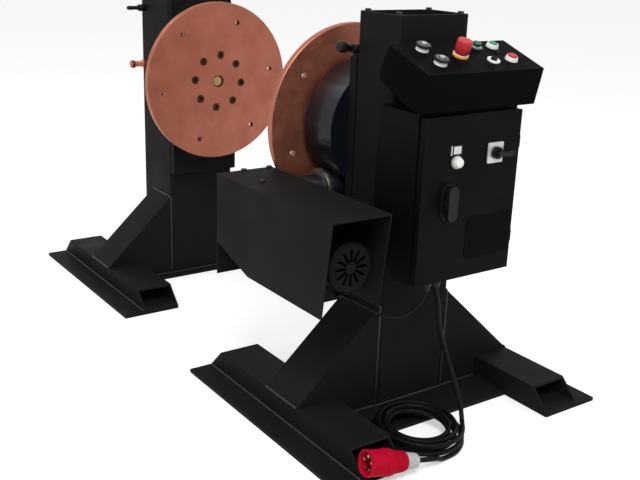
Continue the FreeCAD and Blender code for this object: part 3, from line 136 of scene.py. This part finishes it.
# ---------------------------------------------------------------- supply cord
CORD_R = 0.00575
COIL_CENTRE = (0.815, -0.118)
COIL_FOOT = 0.101             # from the centre to the edge that rests on the floor
COIL_LEAN = math.atan(0.010 / (COIL_FOOT + 0.055))      # its far edge lies on the 10 mm foot plate
COIL_LIFT = COIL_FOOT * math.tan(COIL_LEAN) + 0.00005
CORD_DOWN = ((0.764, -0.050, 0.362), (0.765, -0.036, 0.325), (0.770, -0.037, 0.276), (0.782, -0.028, 0.222),
             (0.800, -0.017, 0.168), (0.822, -0.012, 0.120), (0.846, -0.013, 0.082))
CORD_TAIL = ((0.930, -0.152, 0.019), (0.930, -0.183, 0.025), (0.926, -0.215, 0.031))
STRANDS = ((0.107, 0.041), (0.090, 0.0415), (0.073, 0.041), (0.074, 0.024), (0.090, 0.024), (0.108, 0.024),
           (0.108, 0.007))       # radius and height of each turn's place in the bundle
COIL_START = math.radians(63)
COIL_SWEEP = math.radians(73) + TAU * (len(STRANDS) - 1)
TURN_POINTS = 14


def coil_point(radius, height, angle):
    x = COIL_CENTRE[0] + radius * math.cos(angle) * math.cos(COIL_LEAN) + height * math.sin(COIL_LEAN)
    z = COIL_LIFT - radius * math.cos(angle) * math.sin(COIL_LEAN) + height * math.cos(COIL_LEAN)
    return (x, COIL_CENTRE[1] + radius * math.sin(angle), z)


def coil_points():
    count = round(COIL_SWEEP / TAU * TURN_POINTS)
    out = []
    for i in range(count + 1):
        place = i / count * (len(STRANDS) - 1)
        k = min(int(place), len(STRANDS) - 2)
        w = place - k
        radius = STRANDS[k][0] * (1 - w) + STRANDS[k + 1][0] * w
        height = STRANDS[k][1] * (1 - w) + STRANDS[k + 1][1] * w
        angle = COIL_START - COIL_SWEEP * i / count
        loose = 0.0016 * math.sin(2 * angle + 1) + 0.0003 * math.sin(3 * angle + 1.7 * k)
        out.append(coil_point(radius + loose, height, angle))
    return out


def curve_object(name, points, radius, material):
    data = bpy.data.curves.new(name, "CURVE")
    data.dimensions = "3D"
    data.bevel_depth = radius
    data.bevel_resolution = 5
    data.resolution_u = 8
    data.use_fill_caps = True
    spline = data.splines.new("NURBS")
    spline.points.add(len(points) - 1)
    for p, co in zip(spline.points, points):
        p.co = (*co, 1.0)
    spline.order_u = 3
    spline.use_endpoint_u = True
    data.materials.append(material)
    return link(bpy.data.objects.new(name, data), "stand")


# ---------------------------------------------------------------- materials
def new_material(name, colour, metallic=0.0, rough=0.5, **inputs):
    mat = bpy.data.materials.new(name)
    mat.use_nodes = True
    shader = mat.node_tree.nodes["Principled BSDF"]
    shader.inputs["Base Color"].default_value = colour
    shader.inputs["Metallic"].default_value = metallic
    shader.inputs["Roughness"].default_value = rough
    for key, value in inputs.items():
        shader.inputs[key.replace("_", " ")].default_value = value
    return mat, mat.node_tree.nodes, mat.node_tree.links, shader


def noise_of(nodes, links, scale, detail=2.0, vector=None):
    tex = nodes.new("ShaderNodeTexNoise")
    tex.inputs["Scale"].default_value = scale
    tex.inputs["Detail"].default_value = detail
    if vector is None:
        coord = nodes.new("ShaderNodeTexCoord")
        vector = coord.outputs["Object"]
    links.new(vector, tex.inputs["Vector"])
    return tex.outputs["Fac"]


def spread(nodes, links, source, low, high):
    """Map the middle of a noise's range to low..high."""
    m = nodes.new("ShaderNodeMapRange")
    m.inputs["From Min"].default_value = 0.3
    m.inputs["From Max"].default_value = 0.7
    m.inputs["To Min"].default_value = low
    m.inputs["To Max"].default_value = high
    links.new(source, m.inputs["Value"])
    return m.outputs["Result"]


def two_tone(nodes, links, source, a, b, shader):
    """Blend colour a into b over the middle of a noise's range."""
    ramp = nodes.new("ShaderNodeValToRGB")
    for element, position, colour in zip(ramp.color_ramp.elements, (0.35, 0.65), (a, b)):
        element.position = position
        element.color = colour
    links.new(source, ramp.inputs["Fac"])
    links.new(ramp.outputs["Color"], shader.inputs["Base Color"])


def bump(nodes, links, source, distance, shader, strength=0.3):
    node = nodes.new("ShaderNodeBump")
    node.inputs["Distance"].default_value = distance
    node.inputs["Strength"].default_value = strength
    links.new(source, node.inputs["Height"])
    links.new(node.outputs["Normal"], shader.inputs["Normal"])


def paint(name, a, b, rough, peel=420.0, depth=0.0004, shine=0.15):
    """Sprayed paint: two close tones in clouds, orange peel and a little uneven gloss."""
    mat, n, l, s = new_material(name, a, rough=rough, Specular_IOR_Level=shine)
    two_tone(n, l, noise_of(n, l, 3.5, 4.0), a, b, s)
    l.new(spread(n, l, noise_of(n, l, 9.0, 5.0), rough - 0.07, rough + 0.09), s.inputs["Roughness"])
    bump(n, l, noise_of(n, l, peel, 2.0), depth, s, 0.35)
    return mat


def metal(name, a, b, rough, grain=(1, 1, 1), scale=60.0, depth=0.0003, metallic=1.0):
    """Steel and other bare metals: grain drawn out along one direction."""
    mat, n, l, s = new_material(name, a, metallic=metallic, rough=rough)
    coord = n.new("ShaderNodeTexCoord")
    mapping = n.new("ShaderNodeMapping")
    mapping.inputs["Scale"].default_value = grain
    l.new(coord.outputs["Object"], mapping.inputs["Vector"])
    v = mapping.outputs["Vector"]
    two_tone(n, l, noise_of(n, l, scale * 0.3, 4.0, v), a, b, s)
    l.new(spread(n, l, noise_of(n, l, scale, 5.0, v), rough - 0.1, rough + 0.12), s.inputs["Roughness"])
    bump(n, l, noise_of(n, l, scale * 4, 3.0, v), depth, s)
    return mat


def plastic(name, a, b, rough, scale=500.0, depth=0.0002, shine=0.3):
    """Moulded plastic or rubber with a fine spark texture."""
    mat, n, l, s = new_material(name, a, rough=rough, Specular_IOR_Level=shine)
    two_tone(n, l, noise_of(n, l, 40.0, 3.0), a, b, s)
    l.new(spread(n, l, noise_of(n, l, 90.0, 3.0), rough - 0.05, rough + 0.08), s.inputs["Roughness"])
    bump(n, l, noise_of(n, l, scale, 2.0), depth, s)
    return mat


AXIS_Z = 0.685               # height of the discs' turning axis


def turned(name, a, b, rough, pitch=900.0, metallic=1.0):
    """A faced disc: fine rings round the turning axis over a mottled surface."""
    mat, n, l, s = new_material(name, a, metallic=metallic, rough=rough)
    coord = n.new("ShaderNodeTexCoord")
    flat = n.new("ShaderNodeVectorMath")
    flat.operation = "MULTIPLY_ADD"
    flat.inputs[1].default_value = (0, 1, 1)
    flat.inputs[2].default_value = (0, 0, -AXIS_Z)
    l.new(coord.outputs["Object"], flat.inputs[0])
    size = n.new("ShaderNodeVectorMath")
    size.operation = "LENGTH"
    l.new(flat.outputs["Vector"], size.inputs[0])
    rings = n.new("ShaderNodeTexNoise")
    rings.noise_dimensions = "1D"
    rings.inputs["Scale"].default_value = pitch
    rings.inputs["Detail"].default_value = 3.0
    l.new(size.outputs["Value"], rings.inputs["W"])
    two_tone(n, l, noise_of(n, l, 14.0, 6.0), a, b, s)
    l.new(spread(n, l, noise_of(n, l, 30.0, 5.0), rough - 0.06, rough + 0.1), s.inputs["Roughness"])
    bump(n, l, rings.outputs["Fac"], 0.00025, s)
    return mat


def two_zones(mat, direction, level, colour, rough):
    """Give a material a second, non-metal colour where the place along `direction` is below `level`."""
    n, l = mat.node_tree.nodes, mat.node_tree.links
    shader = n["Principled BSDF"]
    coord = n.new("ShaderNodeTexCoord")
    along = n.new("ShaderNodeVectorMath")
    along.operation = "DOT_PRODUCT"
    along.inputs[1].default_value = direction
    l.new(coord.outputs["Object"], along.inputs[0])
    below = n.new("ShaderNodeMath")
    below.operation = "LESS_THAN"
    below.inputs[1].default_value = level
    l.new(along.outputs["Value"], below.inputs[0])
    mix = n.new("ShaderNodeMix")
    mix.data_type = "RGBA"
    l.new(below.outputs["Value"], mix.inputs["Factor"])
    old = shader.inputs["Base Color"].links[0].from_socket
    l.new(old, next(i for i in mix.inputs if i.name == "A" and i.type == "RGBA"))
    next(i for i in mix.inputs if i.name == "B" and i.type == "RGBA").default_value = colour
    l.new(next(o for o in mix.outputs if o.type == "RGBA"), shader.inputs["Base Color"])
    matt = n.new("ShaderNodeMix")
    matt.inputs["B"].default_value = rough
    l.new(below.outputs["Value"], matt.inputs["Factor"])
    l.new(shader.inputs["Roughness"].links[0].from_socket, matt.inputs["A"])
    l.new(matt.outputs["Result"], shader.inputs["Roughness"])
    metal_part = n.new("ShaderNodeMath")
    metal_part.operation = "MULTIPLY_ADD"
    metal_part.inputs[1].default_value = -shader.inputs["Metallic"].default_value
    metal_part.inputs[2].default_value = shader.inputs["Metallic"].default_value
    l.new(below.outputs["Value"], metal_part.inputs[0])
    l.new(metal_part.outputs["Value"], shader.inputs["Metallic"])
    shader.inputs["Specular IOR Level"].default_value = 0.02
    return mat


PLUG_TAIL = Vector((0.926, -0.215, 0.031))
PLUG_TIP = Vector((0.906, -0.347, 0.055))
PLUG_AXIS = (PLUG_TIP - PLUG_TAIL).normalized()
PLUG_NUT = 0.034             # length of the grey cable nut
BLANK_TOP = 0.58             # the dark blank plate lies below this height

M = {
    "black_paint": paint("black_paint", srgb(23, 23, 23), srgb(27, 27, 27), 0.55, shine=0.04),
    "cabinet_paint": paint("cabinet_paint", srgb(8, 8, 8), srgb(11, 11, 11), 0.55, 700.0, shine=0.05),
    "console_paint": paint("console_paint", srgb(4, 4, 4), srgb(6, 6, 6), 0.55, 700.0, shine=0.02),
    "drum_paint": paint("drum_paint", srgb(11, 14, 21), srgb(14, 18, 26), 0.33, 260.0, 0.0003, 0.35),
    # motor_paint: the motor's own dark paint, made darker still as painted shade for the shadow inside the
    # cover's open end
    "motor_paint": paint("motor_paint", srgb(3, 3, 4), srgb(6, 6, 7), 0.5, 300.0, 0.0006, 0.08),
    "copper_disc": turned("copper_disc", srgb(160, 96, 76), srgb(170, 106, 85), 0.46, metallic=0.85),
    "centre_bolt": metal("centre_bolt", srgb(150, 128, 88), srgb(176, 156, 116), 0.36),
    "sunk_screws": metal("sunk_screws", srgb(52, 36, 20), srgb(78, 58, 34), 0.45, metallic=0.8),
    "machined_steel": turned("machined_steel", srgb(150, 148, 142), srgb(172, 170, 162), 0.34, 600.0),
    "dark_steel": metal("dark_steel", srgb(30, 29, 28), srgb(44, 41, 38), 0.45, metallic=0.8),
    "zinc_steel": metal("zinc_steel", srgb(28, 28, 29), srgb(44, 44, 45), 0.5, metallic=0.5),
    "bearing_steel": metal("bearing_steel", srgb(190, 190, 192), srgb(205, 205, 206), 0.2),
    "copper": metal("copper", srgb(186, 118, 92), srgb(160, 92, 70), 0.34, (1, 6, 1)),
    "gasket_foam": plastic("gasket_foam", srgb(20, 20, 20), srgb(28, 28, 28), 0.9, 900.0, 0.0006),
    "black_plastic": plastic("black_plastic", srgb(11, 11, 11), srgb(16, 16, 16), 0.42, shine=0.18),
    "white_plastic": plastic("white_plastic", srgb(222, 222, 218), srgb(232, 232, 228), 0.32),
    "switch_silver": two_zones(
        metal("switch_silver", srgb(196, 196, 194), srgb(212, 212, 208), 0.4, (1, 1, 12), metallic=0.5),
        (0, 0, 1), BLANK_TOP, srgb(9, 9, 9), 0.5),
    "device_plastic": plastic("device_plastic", srgb(150, 152, 154), srgb(160, 162, 163), 0.5),
    "red_plastic": plastic("red_plastic", srgb(176, 36, 44), srgb(186, 44, 52), 0.4),
    "green_plastic": plastic("green_plastic", srgb(24, 120, 84), srgb(34, 134, 96), 0.3),
    "dark_green_plastic": plastic("dark_green_plastic", srgb(14, 70, 52), srgb(20, 82, 62), 0.35),
    "cord_rubber": plastic("cord_rubber", srgb(2, 2, 2), srgb(4, 4, 4), 0.5, 700.0, shine=0.12),
    "plug_red": two_zones(
        plastic("plug_red", srgb(166, 12, 38), srgb(178, 18, 46), 0.36),
        PLUG_AXIS, PLUG_TAIL.dot(PLUG_AXIS) + PLUG_NUT, srgb(168, 168, 164), 0.45),
    "yellow_plastic": plastic("yellow_plastic", srgb(236, 150, 38), srgb(242, 162, 50), 0.5, shine=0.1),
    "grey_plastic": plastic("grey_plastic", srgb(168, 168, 164), srgb(178, 178, 174), 0.42),
    "knob_grey": plastic("knob_grey", srgb(34, 34, 32), srgb(44, 43, 41), 0.42, shine=0.2),
    # the pin carrier's red, darkened as painted shade for the shadow deep inside the plug's sleeve
    "shaded_carrier_red": plastic("shaded_carrier_red", srgb(120, 12, 30), srgb(132, 18, 38), 0.55),
    "weld": metal("weld", srgb(16, 16, 17), srgb(24, 24, 25), 0.5, metallic=0.0, depth=0.0008),
}

EDGE_WIDTH = 0.0008
SHARP_NODES = ("head_faceplate", "tail_faceplate")
SLOT_OF = {s["node"]: s["material_slot"] for s in frame["record"]["subparts"]}
OWN_LOOK = {"tail_centre_bolt": "centre_bolt", "console_shell": "console_paint",
            "head_faceplate_screws": "sunk_screws", "tail_faceplate_screws": "sunk_screws",
            "speed_knob_left": "knob_grey", "speed_knob_right": "knob_grey"}


def dress_nodes():
    """Give every CAD node its material, and softened edges to all but the faceplates."""
    for name, obj in NODES.items():
        obj.data.materials.clear()
        obj.data.materials.append(M[OWN_LOOK.get(name, SLOT_OF[name])])
        if name in SHARP_NODES:
            continue
        weld = obj.modifiers.new("weld", "WELD")
        weld.merge_threshold = 0.00002
        edge = obj.modifiers.new("edge", "BEVEL")
        edge.width = EDGE_WIDTH
        edge.segments = 2
        edge.limit_method = "ANGLE"
        edge.angle_limit = math.radians(38)
        edge.use_clamp_overlap = True
        edge.harden_normals = True


dress_nodes()

power_cord = curve_object("power_cord_line", [*CORD_DOWN, *coil_points(), *CORD_TAIL], CORD_R,
                          M["cord_rubber"])
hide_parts("power_cord", "power_cord_coil")

# ---------------------------------------------------------------- operator controls
SLOPE_UP = Vector((-0.939997, 0.0, 0.341184))
SLOPE_OUT = Vector((0.341184, 0.0, 0.939997))
FRONT_EDGE = Vector((0.830, 0.0, 0.872))
# each control's distance up the slope from the front edge, and its y
CONTROLS = {"speed_knob_left": (0.113, -0.104), "speed_knob_right": (0.047, -0.104),
            "estop": (0.077, -0.021), "reset": (0.113, 0.057), "start": (0.113, 0.108),
            "joystick": (0.047, 0.054), "stop": (0.047, 0.110)}
# foot radius, rim radius and height of the three collars
TALL_COLLAR = (0.0150, 0.0130, 0.0090)
LOW_COLLAR = (0.0150, 0.0150, 0.0041)
ESTOP_COLLAR = (0.0180, 0.0180, 0.0058)
STEM_BORE = 0.0092
BUTTON_BORE = 0.0110
BUTTON_R = 0.0105


def on_console(name):
    up, y = CONTROLS[name]
    return frame_on(FRONT_EDGE + SLOPE_UP * up + Vector((0, y, 0)), SLOPE_OUT, -SLOPE_UP)


def turned_piece(name, place, profile, material, body="stand", count=48, wave=0.0, waves=0):
    """Piece revolved from (radius, height) pairs on `place`."""
    bm = bmesh.new()
    lathe(bm, place, profile, count, wave, waves)
    return mesh_object(name, bm, M[material], body)


def bezel(name, collar, material, bore):
    """Collar with a foot bead and a rolled rim, set over the plain one."""
    low_r, high_r, height = collar
    profile = [(low_r - 0.0002, 0.00005), (low_r + 0.0004, 0.0005), (low_r + 0.0003, 0.0014),
               (high_r + 0.0004, height - 0.0012), (high_r - 0.0004, height + 0.0001),
               (bore + 0.0009, height + 0.0003), (bore, height - 0.0006), (bore, height - 0.0020)]
    turned_piece("bezel_" + name, on_console(name), profile, material)


def estop():
    place = on_console("estop")
    bezel("estop", ESTOP_COLLAR, "yellow_plastic", STEM_BORE)
    head = [(0.0090, 0.0106), (0.0166, 0.0106), (0.0171, 0.0114), (0.0176, 0.0200), (0.0178, 0.0340),
            (0.0173, 0.0368), (0.0158, 0.0388), (0.0130, 0.0394), (0.0, 0.0396)]
    turned_piece("estop_head", place, head, "red_plastic", "estop", 64)


def speed_dial(name, body):
    """Light hub and a fine ring on the knob's disc."""
    place = on_console(name)
    bezel(name, TALL_COLLAR, "white_plastic", STEM_BORE)
    hub = [(0.0060, 0.0150), (0.0064, 0.0176), (0.0060, 0.0186), (0.0046, 0.0189), (0.0040, 0.0184),
           (0.0, 0.0184)]
    turned_piece(name + "_hub", place, hub, "grey_plastic", body)
    ring = [(0.0122, 0.0152), (0.0120, 0.0157), (0.0114, 0.0157), (0.0112, 0.0152)]
    turned_piece(name + "_ring", place, ring, "grey_plastic", body, 64)


def push_button(name, collar, top, collar_look, cap_look):
    """Collar, and a dished face over the button's cap."""
    r = BUTTON_R
    bezel(name, collar, collar_look, BUTTON_BORE)
    face = [(r - 0.0004, top - 0.0034), (r + 0.0001, top - 0.0030), (r + 0.0001, top - 0.0012),
            (r - 0.0008, top + 0.0002), (r - 0.0022, top + 0.0002), (r - 0.0036, top - 0.0001),
            (0.0, top + 0.0001)]
    turned_piece(name + "_cap", on_console(name), face, cap_look, name)


def joystick_boot():
    """A pleated rubber boot round the lever's foot."""
    place = on_console("joystick")
    bezel("joystick", LOW_COLLAR, "white_plastic", STEM_BORE)
    folds = [(0.0072, 0.0078)]
    for k in range(3):
        inset, lift = 0.0012 * k, 0.0020 * k
        folds += [(0.0072 - inset, 0.0084 + lift), (0.0060 - inset, 0.0094 + lift)]
    folds += [(0.0033, 0.0144)]
    turned_piece("joystick_boot", place, folds, "black_plastic", "stick")


estop()
speed_dial("speed_knob_left", "knob_left")
speed_dial("speed_knob_right", "knob_right")
push_button("start", TALL_COLLAR, 0.0105, "white_plastic", "green_plastic")
push_button("stop", TALL_COLLAR, 0.0130, "white_plastic", "red_plastic")
push_button("reset", LOW_COLLAR, 0.0130, "dark_green_plastic", "dark_green_plastic")
joystick_boot()


# ---------------------------------------------------------------- plug
def dress_plug():
    """Fluted cable nut, ribs on the body, a knurled ring and the pin carrier in the sleeve."""
    place = frame_on(PLUG_TAIL, PLUG_AXIS)
    nut = [(0.0130, 0.0006), (0.0150, 0.0010), (0.0172, 0.0060), (0.0192, 0.0300), (0.0196, 0.0330),
           (0.0185, 0.0338)]
    turned_piece("plug_nut", place, nut, "grey_plastic", count=96, wave=0.025, waves=12)
    for k in range(4):
        h = 0.0385 + 0.0068 * k
        r = 0.0215 + 0.13 * (h - PLUG_NUT)
        rib = [(r - 0.0004, h), (r + 0.0011, h + 0.0012), (r + 0.0013, h + 0.0028), (r - 0.0002, h + 0.0042)]
        turned_piece(f"plug_rib_{k}", place, rib, "plug_red", count=64)
    collar = [(0.0275, 0.0705), (0.0300, 0.0725), (0.0312, 0.0790), (0.0315, 0.0880), (0.0310, 0.0918),
              (0.0297, 0.0924)]
    turned_piece("plug_collar", place, collar, "plug_red", count=120, wave=0.006, waves=30)
    length = (PLUG_TIP - PLUG_TAIL).length
    lip = [(0.0292, length - 0.0060), (0.0303, length - 0.0050), (0.0303, length - 0.0006),
           (0.0290, length - 0.0001), (0.0272, length - 0.0004), (0.0266, length - 0.0030)]
    turned_piece("plug_lip", place, lip, "plug_red", count=64)
    # the carrier's red is darkened as painted shade for its place deep in the sleeve
    carrier = [(0.0262, 0.0964), (0.0235, 0.0964), (0.0230, 0.1010), (0.0, 0.1010)]
    turned_piece("plug_carrier", place, carrier, "shaded_carrier_red", count=64)


dress_plug()


# ---------------------------------------------------------------- cabinet door
DOOR_FACE = 0.802
LAMP_Y = -0.050


def window_frame(name, centre, size, inner, radius, thick, material):
    """Flat frame on the door with round corners and an open window."""
    def outline(w, h, r, x):
        pts = []
        for k in range(4):
            cy = (w / 2 - r) * (1 if k in (0, 3) else -1)
            cz = (h / 2 - r) * (1 if k < 2 else -1)
            for j in range(6):
                a = TAU / 4 * (k + j / 5)
                pts.append(Vector((x, centre[0] + cy + r * math.cos(a), centre[1] + cz + r * math.sin(a))))
        return pts

    bm = bmesh.new()
    x0, x1 = DOOR_FACE + 0.00005, DOOR_FACE + thick
    loops = [outline(*size, radius, x0), outline(*size, radius, x1 - 0.0003),
             outline(size[0] - 0.0006, size[1] - 0.0006, radius, x1),
             outline(*inner, radius / 2, x1), outline(*inner, radius / 2, x0)]
    rings = [[bm.verts.new(v) for v in loop] for loop in loops]
    for low, high in zip(rings, rings[1:]):
        for k in range(len(low)):
            bm.faces.new([low[k], low[(k + 1) % len(low)], high[(k + 1) % len(high)], high[k]])
    mesh_object(name, bm, M[material], "door")


def door_lamp():
    """Ring and dome of the pilot lamp, and the frame round the blank tag above it."""
    place = frame_on((DOOR_FACE, LAMP_Y, 0.671), (1, 0, 0))
    ring = [(0.0148, 0.0001), (0.0152, 0.0010), (0.0150, 0.0050), (0.0138, 0.0064), (0.0120, 0.0066)]
    turned_piece("lamp_ring", place, ring, "grey_plastic", "door")
    dome = [(0.0121, 0.0064), (0.0120, 0.0110), (0.0100, 0.0150), (0.0060, 0.0172), (0.0, 0.0180)]
    turned_piece("lamp_dome", place, dome, "white_plastic", "door")
    window_frame("lamp_tag_frame", (LAMP_Y, 0.6985), (0.030, 0.024), (0.024, 0.018), 0.002, 0.0030,
                 "black_plastic")


door_lamp()


# ---------------------------------------------------------------- welds
def weld_bead(name, start, end, radius=0.0032):
    """A bead of overlapping ripples along a joint."""
    start, end = Vector(start), Vector(end)
    length = (end - start).length
    steps = max(8, int(length / 0.0035))
    place = frame_on(start, end - start)
    bm = bmesh.new()
    profile = []
    for i in range(steps + 1):
        ripple = 1 + 0.09 * math.sin(TAU * i / 2.6) + random.uniform(-0.05, 0.05)
        profile.append((radius * ripple * (0.55 if i in (0, steps) else 1), length * i / steps))
    lathe(bm, place, profile, 8)
    mesh_object("weld_" + name, bm, M["weld"], "stand", 60.0)


# each column's disc side, outer side, half width and side of the origin
COLUMNS = {"head": (0.497, 0.643, 0.110, 1), "tail": (0.497, 0.708, 0.117, -1)}
PLATE_TOP = 0.010
FOOT_IN = 0.235
GUSSET_TOP = 0.282
GUSSET_SIDES = (0.003, 0.143)        # from the column's disc side
TOE_Y = 0.350
TOE_TOP = 0.066
TUBE_ENDS = (0.222, 0.898)
TUBE_STOP = 0.495                    # just short of the column


def column_welds():
    """Beads round the columns' feet, the gussets and the fork pockets."""
    for tag, (inner, outer, half, side) in COLUMNS.items():
        for edge, x in (("in", inner), ("out", outer)):
            weld_bead(f"{tag}_{edge}_foot", (side * x, -half, PLATE_TOP), (side * x, half, PLATE_TOP))
        near, far = (side * (inner + offset) for offset in GUSSET_SIDES)
        start, end = (side * x for x in TUBE_ENDS)
        for k, y in enumerate((-1, 1)):
            wall, toe, foot = y * half, y * TOE_Y, y * FOOT_IN
            for edge, x in (("in", near), ("out", far)):
                weld_bead(f"{tag}_cheek_{k}_{edge}", (x, wall, GUSSET_TOP), (x, wall, PLATE_TOP))
                weld_bead(f"{tag}_foot_{k}_{edge}", (x, wall, PLATE_TOP), (x, foot, PLATE_TOP))
            weld_bead(f"{tag}_slope_{k}", (near, toe, TOE_TOP), (far, toe, TOE_TOP))
            weld_bead(f"{tag}_top_{k}", (near, wall, GUSSET_TOP), (far, wall, GUSSET_TOP))
            weld_bead(f"{tag}_tube_{k}", (start, toe, PLATE_TOP), (end, toe, PLATE_TOP))
            weld_bead(f"{tag}_tube_inner_{k}", (start, foot, PLATE_TOP), (side * TUBE_STOP, foot, PLATE_TOP))


column_welds()


# ---------------------------------------------------------------- cable pegs and earth stud
def hook_horn(name, root, tip, shape):
    """Swollen end of a cable peg."""
    root, tip = Vector(root), Vector(tip)
    length = (tip - root).length
    place = frame_on(root, tip - root)
    profile = [(r, h * length) for r, h in shape]
    turned_piece("horn_" + name, place, profile, "dark_steel", count=36)


hook_horn("head", (0.485, -0.112, 0.888), (0.485, -0.159, 0.8965),
          ((0.0066, 0.0), (0.0070, 0.20), (0.0105, 0.38), (0.0140, 0.56), (0.0148, 0.72), (0.0128, 0.88),
           (0.0080, 0.97), (0.0, 1.0)))
hook_horn("tail", (-0.678, -0.137, 0.896), (-0.678, -0.180, 0.896),
          ((0.0066, 0.0), (0.0064, 0.5), (0.0070, 0.8), (0.0062, 0.94), (0.0, 1.0)))


def stud_thread():
    """Threads on the copper stud between its two nuts."""
    place = frame_on((-0.678, -0.117, 0.711), (0, -1, 0))
    root_r, crest_r = 0.0090, 0.0096
    profile = []
    for k in range(24):
        h = 0.0105 + 0.0015 * k
        profile += [(root_r, h), (crest_r, h + 0.0007)]
    profile.append((root_r, 0.0465))
    turned_piece("stud_thread", place, profile, "copper", count=32)


stud_thread()

# ---------------------------------------------------------------- studio
WORLD_LIGHT = 0.62
FLOOR_GLOW = 0.42             # seen by the camera, gloss and glass only
AIM = (0, 0, 0.5)             # the lamps point here
WHITE = (1, 1, 1, 1)


def area_light(name, place, size, power):
    data = bpy.data.lights.new(name, "AREA")
    data.shape = "RECTANGLE"
    data.size, data.size_y = size
    data.energy = power
    lamp = bpy.data.objects.new(name, data)
    scene.collection.objects.link(lamp)
    turn = (Vector(AIM) - Vector(place)).to_track_quat("-Z", "Y").to_matrix().to_4x4()
    lamp.matrix_world = Matrix.Translation(Vector(place)) @ turn


def background_level(n, l, lighting, seen):
    """`lighting` for the rays that light the part, `seen` for the camera, gloss and glass."""
    path = n.new("ShaderNodeLightPath")
    total = path.outputs["Is Camera Ray"]
    for extra in ("Is Glossy Ray", "Is Transmission Ray"):
        add = n.new("ShaderNodeMath")
        add.use_clamp = True
        l.new(total, add.inputs[0])
        l.new(path.outputs[extra], add.inputs[1])
        total = add.outputs["Value"]
    strength = n.new("ShaderNodeMapRange")
    strength.inputs["To Min"].default_value = lighting
    strength.inputs["To Max"].default_value = seen
    l.new(total, strength.inputs["Value"])
    return strength.outputs["Result"]


def make_floor():
    bm = bmesh.new()
    bmesh.ops.create_grid(bm, x_segments=2, y_segments=2, size=40.0)
    mesh = bpy.data.meshes.new("floor")
    bm.to_mesh(mesh)
    bm.free()
    mat, n, l, s = new_material("floor", (0.8, 0.8, 0.8, 1), rough=0.9, Specular_IOR_Level=0.0)
    s.inputs["Emission Color"].default_value = WHITE
    l.new(background_level(n, l, 0.0, FLOOR_GLOW), s.inputs["Emission Strength"])
    mesh.materials.append(mat)
    floor = bpy.data.objects.new("floor", mesh)
    floor.location.z = -0.0004
    scene.collection.objects.link(floor)


def make_world():
    world = bpy.data.worlds.new("studio")
    world.use_nodes = True
    n, l = world.node_tree.nodes, world.node_tree.links
    back = n["Background"]
    l.new(background_level(n, l, WORLD_LIGHT, 1.0), back.inputs["Strength"])
    back.inputs["Color"].default_value = WHITE
    scene.world = world


make_floor()
make_world()
area_light("key", (3.2, -1.8, 4.2), (2.4, 2.4), 150)
area_light("fill", (-1.0, -2.0, 4.6), (2.6, 2.0), 30)
scene.view_settings.view_transform = "Standard"
